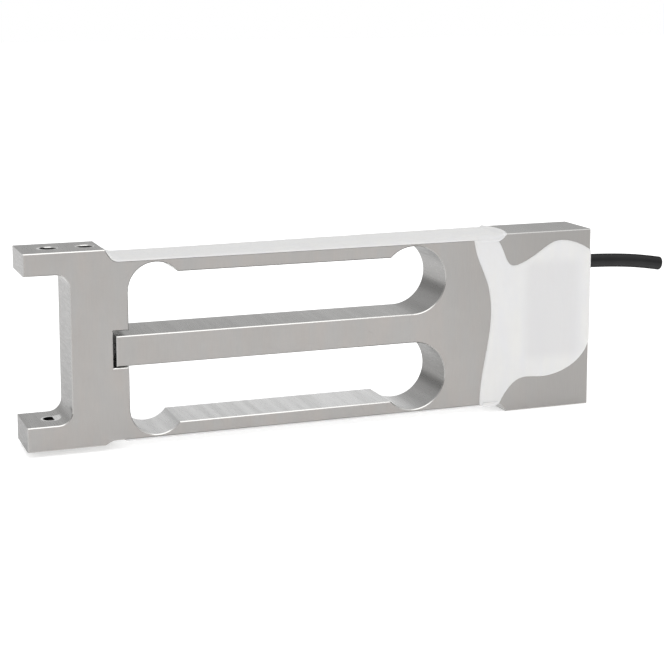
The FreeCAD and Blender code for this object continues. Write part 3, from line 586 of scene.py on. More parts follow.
class BodyMetal:
    """Machined aluminium of the spring body: brushed side faces, milled walls with tool marks, a sawn live
    end and broken edges; painted shade on the bores, the live end and the fixed end, painted highlights on
    the edges, the lower window and the hole mouths.
    """

    tones = MetalTones()

    def __init__(self, palette: Palette) -> None:
        """Build the material.

        Args:
            palette: Maker of the shared groups.
        """
        self.material, graph, shader = palette.start("aluminium_body")
        self.graph = graph
        self.place, self.normal = graph.axes(graph.place()), graph.axes(graph.normal())
        self.mottle = palette.group(graph, palette.mottle, Cloud_size=14.0, Grain_size=0.18)
        self.brushing = palette.group(graph, palette.brushing)
        self.marks = palette.group(graph, palette.tool_marks)
        self.fixed_end = self.along("X", 20.0, 100.0)

        across = graph.maths("ABSOLUTE", self.normal["Y"])
        side = graph.ramp(across, 0.92, 0.97)
        edge = graph.product(graph.ramp(across, 0.25, 0.45), graph.ramp(across, 0.85, 0.92, 1.0, 0.0))
        milled = graph.maths("SUBTRACT", 1.0, graph.maths("ADD", side, edge))

        colour = graph.mix(side, self.milled_colour(), self.side_colour())
        # Painted highlight on the broken edges, dimmed by painted shade where they face the live end.
        end_edge = graph.ramp(self.normal["X"], -0.25, -0.55)
        colour = graph.mix(edge, colour, graph.mix(end_edge, self.tones.edge_highlight,
                                                   self.tones.end_edge_shade))
        scratch = palette.group(graph, palette.scratches)["Scratch"]
        colour = self.holed(graph.mix(scratch, colour, self.tones.scratch))
        graph.feed(shader.inputs["Base Color"], colour)

        brushed_rough = graph.ramp(self.brushing["Hairlines"], 0.0, 1.0, 0.42, 0.5)
        milled_rough = graph.ramp(self.marks["Lines"], 0.0, 1.0, 0.27, 0.33)
        rough = graph.blend(edge, graph.blend(milled, brushed_rough, milled_rough), 0.22)
        graph.fill(shader, {"Roughness": rough, "Metallic": 1.0,
                            "Specular Tint": rgba((0.87, 0.87, 0.87))})

        height = graph.blend(milled, self.brushing["Hairlines"], self.marks["Lines"])
        height = graph.maths("ADD", height, graph.product(self.mottle["Grain"], 0.4))
        palette.relief(graph, shader, height, 0.003)

    def along(self, axis: str, start: float, end: float, out_low: float = 0.0,
              out_high: float = 1.0) -> Socket:
        """Ramp between two stations, in millimetres along an axis of the body."""
        return self.graph.ramp(self.place[axis], start * MM, end * MM, out_low, out_high)

    def side_colour(self) -> Socket:
        """Colour of the brushed front and back, with painted shade that darkens it towards the fixed end.

        Returns:
            The colour, as a socket.
        """
        graph, tones = self.graph, self.tones
        colour = graph.mix(self.brushing["Streaks"], tones.side_warm, tones.side_cool)
        colour = graph.mix(graph.product(self.mottle["Cloud"], 0.35), colour, tones.side_cloud)
        # Painted shade that darkens the front and back towards the fixed end.
        return graph.mix(graph.product(self.fixed_end, 0.8), colour, tones.side_fixed_end_shade)

    def milled_colour(self) -> Socket:
        """Colour of the milled pads, windows and bores, and of the sawn live end, with a painted highlight on
        the lower window and painted shade on the bores, the live end and towards the fixed end.

        Returns:
            The colour, as a socket.
        """
        graph, tones, bands = self.graph, self.tones, self.marks["Bands"]
        colour = graph.mix(bands, tones.milled_dull, tones.milled_bright)
        # Painted highlight that brightens the milled faces low in the lower window.
        lower_window = graph.product(self.along("Z", 10.0, 26.0, 1.0, 0.0), self.along("X", -72.0, -66.0))
        colour = graph.mix(lower_window, colour, graph.mix(bands, tones.lower_beam_highlight_dull,
                                                           tones.lower_beam_highlight_bright))
        # Painted shade in the live bore.
        live_bore_shade = graph.product(lower_window, self.along("X", -60.0, -67.0))
        colour = graph.mix(live_bore_shade, colour, tones.live_bore_shade)
        # Painted shade on the fixed bores and the faces round them.
        fixed_bore = graph.product(self.along("X", 26.0, 42.0), self.along("X", 46.0, 50.0, 1.0, 0.0))
        colour = graph.mix(graph.product(fixed_bore, 0.9), colour, self.bore_shade_colour())
        # Painted shade on faces that face the live end, darker towards the bottom.
        live_end_shade = graph.mix(self.along("Z", 5.0, 60.0), tones.live_end_shade_low, tones.live_end_shade_high)
        colour = graph.mix(graph.ramp(self.normal["X"], -0.8, -0.98), colour, live_end_shade)
        # Painted shade that darkens the milled faces towards the fixed end.
        return graph.mix(graph.product(self.fixed_end, 0.8), colour, tones.milled_fixed_end_shade)

    def bore_shade_colour(self) -> Socket:
        """Colour of the fixed bores' walls, from their roof down to their bed, with painted shade that is
        darkest on the roof, and tool-mark bands over it.

        Returns:
            The colour, as a socket.
        """
        graph, tones, upward = self.graph, self.tones, self.normal["Z"]
        # Painted shade, darkest where the bore's wall faces down.
        colour = graph.mix(graph.ramp(upward, -0.9, 0.2), tones.bore_roof_shade, tones.bore_wall_shade)
        colour = graph.mix(graph.ramp(upward, 0.75, 0.95), colour, tones.bore_bed_shade)
        return graph.mix(graph.product(self.marks["Bands"], 0.2), colour, tones.bore_bands)

    def holed(self, colour: Socket) -> Socket:
        """Paint shade into the tapped bores up into their countersinks, and paint a highlight round the live
        end's hole mouths.

        Args:
            colour: Colour of the metal so far.

        Returns:
            The colour with the holes in it, as a socket.
        """
        graph, tones = self.graph, self.tones
        beyond = self.beyond_tapping()
        # Painted shade in the tapped bores, up into their countersinks.
        steep = graph.ramp(graph.maths("ABSOLUTE", self.normal["Z"]), 0.8, 0.9, 1.0, 0.0)
        tapped_shade = graph.product(steep, graph.ramp(beyond, 0.42 * MM, 0.64 * MM, 1.0, 0.0))
        colour = graph.mix(tapped_shade, colour, tones.tapped_bore_shade)
        # Painted highlight on the level faces round the live end's hole mouths.
        level = graph.ramp(self.normal["Z"], 0.8, 0.9)
        mouth = graph.ramp(beyond, 1.0 * MM, 1.25 * MM, 1.0, 0.0)
        mouth_glint = graph.product(level, self.along("X", -10.0, 0.0, 1.0, 0.0), mouth)
        return graph.mix(mouth_glint, colour, tones.mouth_highlight)

    def beyond_tapping(self) -> Socket:
        """Distance out from the tapping wall of the nearest tapped bore.

        Returns:
            The distance in metres, below nought inside a bore.
        """
        graph = self.graph
        level = graph.stretched((1.0, 1.0, 0.0))
        nearest = None
        for centre, radius in tapped_holes():
            away = graph.node("VectorMath", {0: level, 1: (centre.x, centre.y, 0.0)}, operation="DISTANCE")
            beyond = graph.maths("SUBTRACT", away.outputs["Value"], radius)
            nearest = beyond if nearest is None else graph.maths("MINIMUM", nearest, beyond)
        return nearest


# ---- Body as the pieces find it ----


class Side(Enum):
    """Outer face of the body that a coat lies on, with the way it looks along Z."""

    TOP = 1
    UNDERSIDE = -1


@dataclass
class Body:
    """Spring body of the frame: its limits, its upper and lower surface, and its bores.

    Args:
        outside: Distance from the middle at which a cast starts clear of the body.
        bore_step: Step with which a bore is followed.
        bore_slack: Distance by which a bore's wall may miss its radius.
    """

    outside: float = 1.0
    bore_step: float = 0.1 * MM
    bore_slack: float = 0.06 * MM

    def __post_init__(self) -> None:
        """Read the spring body's limits and faces."""
        low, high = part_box("spring_body")
        self.front, self.base_end = low.y, high.x
        self.half_width = (high.y - low.y) / 2
        mesh = frame["nodes"]["spring_body"].data
        self.tree = bvhtree.BVHTree.FromPolygons([v.co.copy() for v in mesh.vertices],
                                                 [tuple(p.vertices) for p in mesh.polygons])

    def height(self, x: float, side: Side) -> float:
        """Height of an outer face on the middle line."""
        start = Vector((x, 0.0, side.value * self.outside))
        return self.tree.ray_cast(start, Vector((0.0, 0.0, -side.value)))[0].z

    def bore_span(self, centre: Vector, radius: float) -> tuple[float, float]:
        """Find where a vertical bore has its full wall all round.

        Args:
            centre: Point on the bore's axis, within the walled length.
            radius: Radius of the bore.

        Returns:
            The lowest and the highest height of the wall.
        """
        ends = []
        for direction in (-1, 1):
            z = centre.z
            while self.walled(Vector((centre.x, centre.y, z + direction * self.bore_step)), radius):
                z += direction * self.bore_step
            ends.append(z)
        return ends[0], ends[1]

    def walled(self, place: Vector, radius: float) -> bool:
        """Whether a bore's wall stands at its radius on four sides of a point.

        Args:
            place: Point on the bore's axis.
            radius: Radius of the bore.

        Returns:
            Whether all four casts meet the wall.
        """
        for turn in range(4):
            angle = math.radians(45 + 90 * turn)
            found = self.tree.ray_cast(place, Vector((math.cos(angle), math.sin(angle), 0.0)))
            if found[0] is None or abs(found[3] - radius) > self.bore_slack:
                return False
        return True


def plain_object(name: str, mesh: bpy.types.Mesh, material: bpy.types.Material) -> bpy.types.Object:
    """Object at the origin that carries a mesh, rides on the body and knows its material slot.

    Args:
        name: Name of the piece.
        mesh: Its mesh.
        material: Material that it wears.

    Returns:
        The new object.
    """
    mesh.name = name
    mesh.materials.clear()
    mesh.materials.append(material)
    made = bpy.data.objects.new(name, mesh)
    bpy.context.collection.objects.link(made)
    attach(made, "root")
    return made


def turned_outward(mesh: bpy.types.Mesh) -> None:
    """Turn every face of a closed mesh outward.

    Args:
        mesh: Mesh to turn.
    """
    work = bmesh.new()
    work.from_mesh(mesh)
    bmesh.ops.recalc_face_normals(work, faces=work.faces)
    work.to_mesh(mesh)
    work.free()


# ---- Silicone skins ----


def smooth_step(value: float, low: float, high: float) -> float:
    """Smooth rise from 0 at one value to 1 at another."""
    share = min(1.0, max(0.0, (value - low) / (high - low)))
    return share * share * (3 - 2 * share)


def signed_area(loop: numpy.ndarray) -> float:
    """Area inside a loop, above nought where it runs anticlockwise."""
    ahead = numpy.roll(loop, -1, 0)
    return float((loop[:, 0] * ahead[:, 1] - ahead[:, 0] * loop[:, 1]).sum() / 2)


def edge_distance(points: numpy.ndarray, loop: numpy.ndarray,
                  runs: numpy.ndarray | None = None) -> numpy.ndarray:
    """Distance of points from a loop.

    Args:
        points: Points to measure from.
        loop: Corners of the closed loop.
        runs: Length that counts as one, for each of the loop's stretches.

    Returns:
        The least distance of each point.
    """
    best = numpy.full(len(points), numpy.inf)
    ahead = numpy.roll(loop, -1, 0)
    for k in range(len(loop)):
        start, along = loop[k], ahead[k] - loop[k]
        share = numpy.clip(((points - start) @ along) / max(along @ along, 1e-18), 0.0, 1.0)
        away = numpy.linalg.norm(points - (start + share[:, None] * along), axis=1)
        best = numpy.minimum(best, away / (1.0 if runs is None else runs[k]))
    return best


def within(points: numpy.ndarray, loop: numpy.ndarray) -> numpy.ndarray:
    """Whether each point lies inside a loop.

    Args:
        points: Points to try.
        loop: Corners of the closed loop.

    Returns:
        True for each point inside.
    """
    odd = numpy.zeros(len(points), bool)
    x, y = points[:, 0], points[:, 1]
    for (x0, y0), (x1, y1) in zip(loop, numpy.roll(loop, -1, 0)):
        if y0 != y1:
            odd ^= ((y0 > y) != (y1 > y)) & (x < (x1 - x0) * (y - y0) / (y1 - y0) + x0)
    return odd


def resampled(loop: list[Point2], step: float) -> list[Point2]:
    """Loop with its points an even step apart, corners rounded by less than a step.

    Args:
        loop: Corners of the closed loop.
        step: Distance aimed at between points.

    Returns:
        The new points.
    """
    closed = numpy.array(loop + loop[:1])
    lengths = numpy.linalg.norm(numpy.diff(closed, axis=0), axis=1)
    reached = numpy.concatenate([[0.0], numpy.cumsum(lengths)])
    count = max(8, round(reached[-1] / step))
    stops = numpy.arange(count) * reached[-1] / count
    return list(zip(*(numpy.interp(stops, reached, closed[:, axis]) for axis in (0, 1))))


def front_outline(node: str) -> list[Point2]:
    """Longest outline of a CAD node's faces that look to the front.

    Args:
        node: Name of the node.

    Returns:
        The outline's corners in X and Z.
    """
    mesh = frame["nodes"][node].data
    corner_of = {v.index: (round(v.co.x, 7), round(v.co.z, 7)) for v in mesh.vertices}
    sides: dict[tuple[Point2, Point2], None] = {}
    for face in mesh.polygons:
        if face.normal.y < -0.99:
            corners = [corner_of[k] for k in face.vertices]
            sides.update(dict.fromkeys(zip(corners, corners[1:] + corners[:1])))
    ahead = {a: b for a, b in sides if (b, a) not in sides}
    longest: list[Point2] = []
    while ahead:
        start, follow = next(iter(ahead.items()))
        loop = [start]
        while follow in ahead and follow != start:
            loop.append(follow)
            follow = ahead.pop(follow)
        ahead.pop(start, None)
        if len(loop) > len(longest):
            longest = loop
    return longest


class Unrolled:
    """Surface that lies flat when unrolled: two flat coordinates give a place and a direction."""

    def at(self, a: float, b: float) -> tuple[Vector, Vector]:
        """Place on the surface and its outward direction."""
        raise NotImplementedError


@dataclass
class FrontFace(Unrolled):
    """Front of the body, where the flat coordinates are X and Z."""

    body: Body

    def at(self, a: float, b: float) -> tuple[Vector, Vector]:
        """Place on the front and its outward direction."""
        return Vector((a, self.body.front, b)), Vector((0.0, -1.0, 0.0))


@dataclass
class Face(Unrolled):
    """Top or underside of the body with its ramps, unrolled past the front and back edges.

    Args:
        body: Body that the face belongs to.
        side: Which of the two faces it is.
        bend: Radius with which the surface turns over the edges.
        cast_step: Distance between the casts that heights are read from.
        hollow_reach: Distance each way over which a ramp's foot is told from its surroundings.
        slope_reach: Distance each way over which the slope is taken.
    """

    body: Body
    side: Side
    bend: float = 0.2 * MM
    cast_step: float = 0.25 * MM
    hollow_reach: float = 3.4 * MM
    slope_reach: float = 1.0 * MM
    casts: dict[int, float] = field(default_factory=dict)

    def level(self, x: float) -> float:
        """Height at a station, interpolated between the casts.

        Args:
            x: Station along X.

        Returns:
            The height.
        """
        place = x / self.cast_step
        low = math.floor(place)
        for k in (low, low + 1):
            if k not in self.casts:
                self.casts[k] = self.body.height(k * self.cast_step, self.side)
        share = place - low
        return self.casts[low] * (1 - share) + self.casts[low + 1] * share

    def hollow(self, x: float) -> float:
        """Depth of a ramp's foot at a station, below the mean of the surface around it."""
        around = [self.level(x + self.hollow_reach * k / 4) for k in range(-4, 5)]
        return max(0.0, self.side.value * (sum(around) / len(around) - self.level(x)))

    def at(self, a: float, b: float) -> tuple[Vector, Vector]:
        """Place on the face and its outward direction.

        Args:
            a: Station along X.
            b: Distance from the middle line, measured round the edges.

        Returns:
            The place and the direction.
        """
        reach, up_or_down = self.slope_reach, self.side.value
        slope = (self.level(a + reach) - self.level(a - reach)) / (2 * reach)
        out = Vector((-slope * up_or_down, 0.0, up_or_down)).normalized()
        z, flat = self.level(a), self.body.half_width - self.bend
        way = math.copysign(1.0, b)
        over = abs(b) - flat
        if over <= 0:
            return Vector((a, b, z)), out
        quarter = self.bend * math.pi / 2
        turn = min(over, quarter) / self.bend
        place = Vector((a, way * (flat + self.bend * math.sin(turn)),
                        z - up_or_down * self.bend * (1 - math.cos(turn))))
        place.z -= up_or_down * max(0.0, over - quarter)
        return place, (out * math.cos(turn) + Vector((0.0, way, 0.0)) * math.sin(turn)).normalized()


@dataclass
class Skin:
    """Coat of rubber laid by hand over an unrolled surface: full inside, thin at its free edges.

    Args:
        name: Name of the piece.
        surface: Surface that it lies on.
        outline: Closed outline in the surface's flat coordinates.
        swell: Extra share of the thickness at a flat point.
        hard: Whether the outline is cut short, and not free, at a flat point.
        pocket_dip_and_shade: Share by which the rubber lies over the pocket, kept for the painted shade
            there.
        thickness: Full thickness.
        edge_run: Distance over which a free edge swells to the full thickness.
        hard_run: The same for a hard edge.
        sunk: Depth of its underside in the surface.
        bare: Thickness that counts as none.
        rim_step: Distance between the outline's points.
        rings: Distances of the rows of points that follow the outline, in millimetres.
        close_rings: How many of them keep every point, where the others keep every second.
        ring_clear: Share of its distance that a ring keeps from the rest of the outline.
        spacing: Distance between the points within the rings.
        grid_clear: Distance, in millimetres, that those keep from the last ring.
        broad_waves, broad_share: Waves per metre of the broad unevenness, and its share.
        stroke_waves, stroke_share: The same for the brush strokes, along and across.
    """

    name: str
    surface: Unrolled
    outline: list[Point2]
    swell: Callable[[float, float], float] = lambda a, b: 0.0
    hard: Callable[[float, float], bool] = lambda a, b: False
    pocket_dip_and_shade: Callable[[float, float], float] = lambda a, b: 0.0
    thickness: float = 0.5 * MM
    edge_run: float = 1.3 * MM
    hard_run: float = 0.25 * MM
    sunk: float = 0.04 * MM
    bare: float = 1e-7
    rim_step: float = 0.4 * MM
    rings: tuple[float, ...] = (0.05, 0.12, 0.22, 0.38, 0.6, 0.9, 1.3)
    close_rings: int = 4
    ring_clear: float = 0.93
    spacing: float = 0.8 * MM
    grid_clear: float = 0.3
    broad_waves: float = 110.0
    broad_share: float = 0.16
    stroke_waves: tuple[float, float] = (700.0, 130.0)
    stroke_share: float = 0.05

    def mesh(self) -> bpy.types.Mesh:
        """Closed mesh of the coat, whose underside is sunk a hair into the surface.

        Returns:
            The mesh.
        """
        rim = resampled(self.outline, self.rim_step)
        edge = numpy.array(rim)
        points = [Vector(p) for p in rim + self.inner_points(edge)]
        count = len(rim)
        loop = [(k, (k + 1) % count) for k in range(count)]
        flat, _, faces, *_ = geometry.delaunay_2d_cdt(points, loop, [], 1, 1e-9)
        return self.closed(flat, faces, self.rise(numpy.array([tuple(p) for p in flat]), edge))

    def inner_points(self, edge: numpy.ndarray) -> list[Point2]:
        """Points inside the outline: rings that follow it, and a staggered grid within them.

        Args:
            edge: Points of the outline.

        Returns:
            The points, ring by ring from the outermost, and then the grid.
        """
        along = numpy.roll(edge, -1, 0) - numpy.roll(edge, 1, 0)
        along /= numpy.linalg.norm(along, axis=1)[:, None]
        turn = math.copysign(1.0, signed_area(edge))
        inward = numpy.stack([-along[:, 1], along[:, 0]], 1) * turn
        chosen = []
        for k, ring in enumerate(self.rings):
            tried = (edge + inward * ring * MM)[::1 if k < self.close_rings else 2]
            chosen.append(tried[edge_distance(tried, edge) > self.ring_clear * ring * MM])
        low, high = edge.min(0), edge.max(0)
        xs = numpy.arange(low[0], high[0], self.spacing)
        ys = numpy.arange(low[1], high[1], self.spacing)
        grid = numpy.array([(x + (self.spacing / 2 if j % 2 else 0.0), y)
                            for j, y in enumerate(ys) for x in xs])
        grid = grid[within(grid, edge)]
        chosen.append(grid[edge_distance(grid, edge) > (self.rings[-1] + self.grid_clear) * MM])
        return [tuple(p) for p in numpy.concatenate(chosen)]

    def rise(self, flat: numpy.ndarray, edge: numpy.ndarray) -> list[float]:
        """Thickness at each flat point.

        Args:
            flat: The flat points.
            edge: Points of the outline.

        Returns:
            The thicknesses, nought on the outline.
        """
        middles = (edge + numpy.roll(edge, -1, 0)) / 2
        runs = numpy.array([self.hard_run if self.hard(*m) else self.edge_run for m in middles])
        share = numpy.clip(edge_distance(flat, edge, runs), 0.0, 1.0)
        profile = numpy.sqrt(1.0 - (1.0 - share) ** 2)
        along, across = self.stroke_waves
        thick = []
        for (a, b), full in zip(flat, profile):
            broad = noise.noise(Vector((a, b, 0.0)) * self.broad_waves) * self.broad_share
            stroke = noise.noise(Vector((a * along, b * across, 5.0))) * self.stroke_share
            thick.append(self.thickness * full * (1.0 + broad + stroke + self.swell(a, b)))
        return thick

    def closed(self, flat: list[Vector], faces: list[list[int]], rise: list[float]) -> bpy.types.Mesh:
        """Join the coat's skin and its underside along the outline.

        Args:
            flat: Flat points of the coat.
            faces: Triangles between them.
            rise: Thickness at each of them.

        Returns:
            The closed mesh, with the share of painted shade over the pocket as a colour attribute.
        """
        laid = [self.surface.at(point.x, point.y) for point in flat]
        thin = [thick <= self.bare for thick in rise]
        places = [place + out * (-self.sunk if bare else thick)
                  for (place, out), thick, bare in zip(laid, rise, thin)]
        # Share of painted shade over the pocket, kept as a colour attribute.
        pocket_dip_and_shade = [self.pocket_dip_and_shade(point.x, point.y) for point in flat]
        under = {}
        for k, (place, out) in enumerate(laid):
            under[k] = k if thin[k] else len(places)
            if not thin[k]:
                places.append(place - out * self.sunk)
                pocket_dip_and_shade.append(0.0)
        below = [tuple(under[k] for k in reversed(face)) for face in faces]
        mesh = bpy.data.meshes.new(self.name)
        mesh.from_pydata(places, [], [tuple(f) for f in faces] + below)
        turned_outward(mesh)
        mesh.shade_smooth()
        layer = mesh.color_attributes.new("PocketShade", "FLOAT_COLOR", "POINT")
        for k, value in enumerate(pocket_dip_and_shade):
            layer.data[k].color = (value, value, value, 1.0)
        return mesh


@dataclass
class Silicone:
    """Three coats that seal the cell: over the top flexures, under the bottom ones, and in front.

    The top coat ends in a bead that has run a little way over the front edge.

    Args:
        body: Body that the coats lie on.
        palette: Where their material comes from.
        bow: Distance by which a coat's end bows out past its corners.
        lip: Distance by which a coat turns over an edge.
        end_shares: First and last point of a bowed end, as shares of the half width, and their count.
        long_edge_points: Count of points along a wrapped edge.
        start_gap: Length of the live end's corner, before the top coat's wrapped edge starts.
        bead_length, bead_reach: How long the bead is, and how far down the front it has run.
        bead_swell, bead_inset: Its extra share of thickness, and where that sets in and is whole.
        bead_past: How far it goes on past the coat's front corner.
        bead_start, bead_end: Lengths over which it starts and ends.
        crown: Rise of the top coat's crest over the thin beams, at its live and its other end.
        film: Least thickness where the crest runs into the pads.
        run_in_front, run_in_back: Distance from the edges at which the crown is whole.
        hard_edge: Distance from an edge within which an outline is cut short.
        hard_run: Distance over which the top coat swells from there.
        underside_lip, underside_swell: Lip and extra share where the underside's coat is wrapped.
        underside_inset: Where that extra share sets in and is whole.
        wrap_start, wrap_end: Where the wrapping starts and is whole, past the front stripe.
        over_ribbon: Distance by which the underside's coat reaches over the ribbon.
        inset: Distance by which the front coat keeps clear of the edges over and under it.
        level_slack: Distance within which a point counts as lying on an outer edge of the front coat.
        deep_blur: Distance over which the dip and the painted shade over the pocket fade in.
        deep_dip: Share of thickness lost over the pocket, where the rubber has shrunk in.
    """

    body: Body
    palette: Palette
    bow: float = 2.1 * MM
    lip: float = 0.1 * MM
    end_shares: tuple[float, float, int] = (-0.97, 0.97, 41)
    long_edge_points: int = 240
    start_gap: float = 0.5 * MM
    bead_length: float = 14.0 * MM
    bead_reach: float = 0.95 * MM
    bead_swell: float = 0.85
    bead_inset: tuple[float, float] = (3.0 * MM, 0.3 * MM)
    bead_past: float = 1.0 * MM
    bead_start: float = 3.5 * MM
    bead_end: float = 2.5 * MM
    crown: tuple[float, float] = (0.3 * MM, 1.75 * MM)
    film: float = 0.1 * MM
    run_in_front: float = 1.8 * MM
    run_in_back: float = 0.7 * MM
    hard_edge: float = 0.5 * MM
    hard_run: float = 0.5 * MM
    underside_lip: float = 0.9 * MM
    underside_swell: float = 0.75
    underside_inset: tuple[float, float] = (1.5 * MM, 0.3 * MM)
    wrap_start: float = 0.4 * MM
    wrap_end: float = 1.6 * MM
    over_ribbon: float = 1.2 * MM
    inset: float = 0.45 * MM
    level_slack: float = 0.15 * MM
    deep_blur: float = 2.6 * MM
    deep_dip: float = 0.22

    def build(self) -> None:
        """Lay the coats and let each stand for its CAD node."""
        for skin, node in ((self.top(), "top_coating"), (self.underside(), "bottom_coating"),
                           (self.front(), "side_coating")):
            made = plain_object(skin.name, skin.mesh(), self.palette.made["white_silicone"])
            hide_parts(node)
            log.info("%s has %d faces", skin.name, len(made.data.polygons))

    def round_end(self, x: float, front_bow: float, back_bow: float) -> list[Point2]:
        """Points of a coat's bowed end.

        Args:
            x: Station that the end bows out to.
            front_bow: How far back along X its front corner lies.
            back_bow: The same for its back corner.

        Returns:
            The points, from the front edge to the back edge.
        """
        return [(x - (back_bow if share > 0 else front_bow) * share * share, share * self.body.half_width)
                for share in numpy.linspace(*self.end_shares)]

    def bead(self, x: float, tip: float) -> float:
        """Share of the bead at a station of the front edge, short of the coat's round end.

        Args:
            x: Station along X.
            tip: Station at which the bead has run out.

        Returns:
            The share, from 0 to 1.
        """
        start = tip - self.bead_length
        ended = smooth_step(x, tip - self.bead_end, tip)
        return smooth_step(x, start, start + self.bead_start) * (1.0 - ended)

    def top(self) -> Skin:
        """Coat from the live pad's ramp to its round end on the fixed pad.

        Returns:
            The coat.
        """
        low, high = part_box("top_coating")
        half, full = self.body.half_width, Skin.thickness
        edge, corner = half + self.lip, high.x - self.bow
        tip = corner + self.bead_past
        face = Face(self.body, Side.TOP)
        outline = [(low.x, edge), (low.x, -edge)]
        for x in numpy.linspace(low.x + self.start_gap, corner, self.long_edge_points):
            outline.append((x, -edge - self.bead_reach * self.bead(x, tip)))
        outline += self.round_end(high.x, self.bow, self.bow) + [(corner, edge)]

        def swell(x: float, y: float) -> float:
            """Bead along the front edge, and crown over the thin beams.

            Args:
                x, y: Flat point.

            Returns:
                Share of the thickness to add.
            """
            near = smooth_step(-y, *(half - inset for inset in self.bead_inset))
            bead = self.bead_swell * near * self.bead(x, tip)
            inboard = smooth_step(half - abs(y), 0.0, self.run_in_front if y < 0 else self.run_in_back)
            along = (x - low.x) / (high.x - low.x)
            crest = face.level(0.0) + self.crown[0] * (1 - along) + self.crown[1] * along
            mound = max(crest - face.level(x), self.film) - full
            lift = max(mound, face.hollow(x))
            return bead + (lift * inboard if lift > 0 else lift) / full

        def hard(x: float, y: float) -> bool:
            """Cut short along the edges, up to where the bead starts."""
            return abs(y) > half - self.hard_edge and x < corner - self.bead_length
        return Skin("top_coat", face, outline, swell, hard, hard_run=self.hard_run)

    def underside(self) -> Skin:
        """Coat between the feet, round at both ends.

        Returns:
            The coat.
        """
        low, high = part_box("bottom_coating")
        half = self.body.half_width
        edge, foot = half + self.lip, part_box("side_coating")[0].z
        stripe = min(x for x, z in front_outline("side_coating") if z < foot + 0.2 * MM)

        def wrapped(x: float) -> float:
            """Share by which the coat is wrapped over the front edge, from the stripe on."""
            return smooth_step(x, stripe + self.wrap_start, stripe + self.wrap_end)

        def swell(x: float, y: float) -> float:
            """Rubber heaped up where it is wrapped over the front edge."""
            near = smooth_step(-y, *(half - inset for inset in self.underside_inset))
            return self.underside_swell * wrapped(x) * near

        def hard(x: float, y: float) -> bool:
            """Cut short along both edges."""
            return abs(y) > half - self.hard_edge
        outline = self.round_end(high.x, -self.over_ribbon, self.bow)
        outline += [(high.x - self.bow, edge), (low.x + self.bow, edge)]
        outline += [(x, -y) for x, y in self.round_end(low.x, -self.bow, -self.bow)]
        for x in numpy.linspace(low.x + self.bow, high.x + self.over_ribbon, self.long_edge_points):
            outline.append((x, -edge - self.underside_lip * wrapped(x)))
        return Skin("underside_coat", Face(self.body, Side.UNDERSIDE), outline, swell, hard)

    def front(self) -> Skin:
        """Coat on the front: a stripe over the ribbons that widens over the pocket.

        Returns:
            The coat.
        """
        low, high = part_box("side_coating")
        z_low, z_high = low.z + self.inset, high.z - self.inset
        outline = [(x, min(max(z, z_low), z_high)) for x, z in front_outline("side_coating")]
        pocket_low, pocket_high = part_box("pocket_filler")

        def pocket_dip_and_shade(x: float, z: float) -> float:
            """Share by which the pocket lies below a point.

            Args:
                x, z: Point on the front.

            Returns:
                The share, from 0 to 1.
            """
            blur, share = self.deep_blur, 1.0
            for at, start, end in ((x, pocket_low.x, pocket_high.x), (z, pocket_low.z, pocket_high.z)):
                share *= smooth_step(at, start - blur, start + blur)
                share *= 1.0 - smooth_step(at, end - blur, end + blur)
            return share

        def hard(x: float, z: float) -> bool:
            """Cut short over, under and at the end of the pocket."""
            return min(z - z_low, z_high - z, high.x - x) < self.level_slack
        # The pocket's share both dips the coat and sets the painted shade over the pocket.
        return Skin("front_coat", FrontFace(self.body), outline, lambda x, z: -self.deep_dip * pocket_dip_and_shade(x, z),
                    hard, pocket_dip_and_shade)


# ---- Threads ----


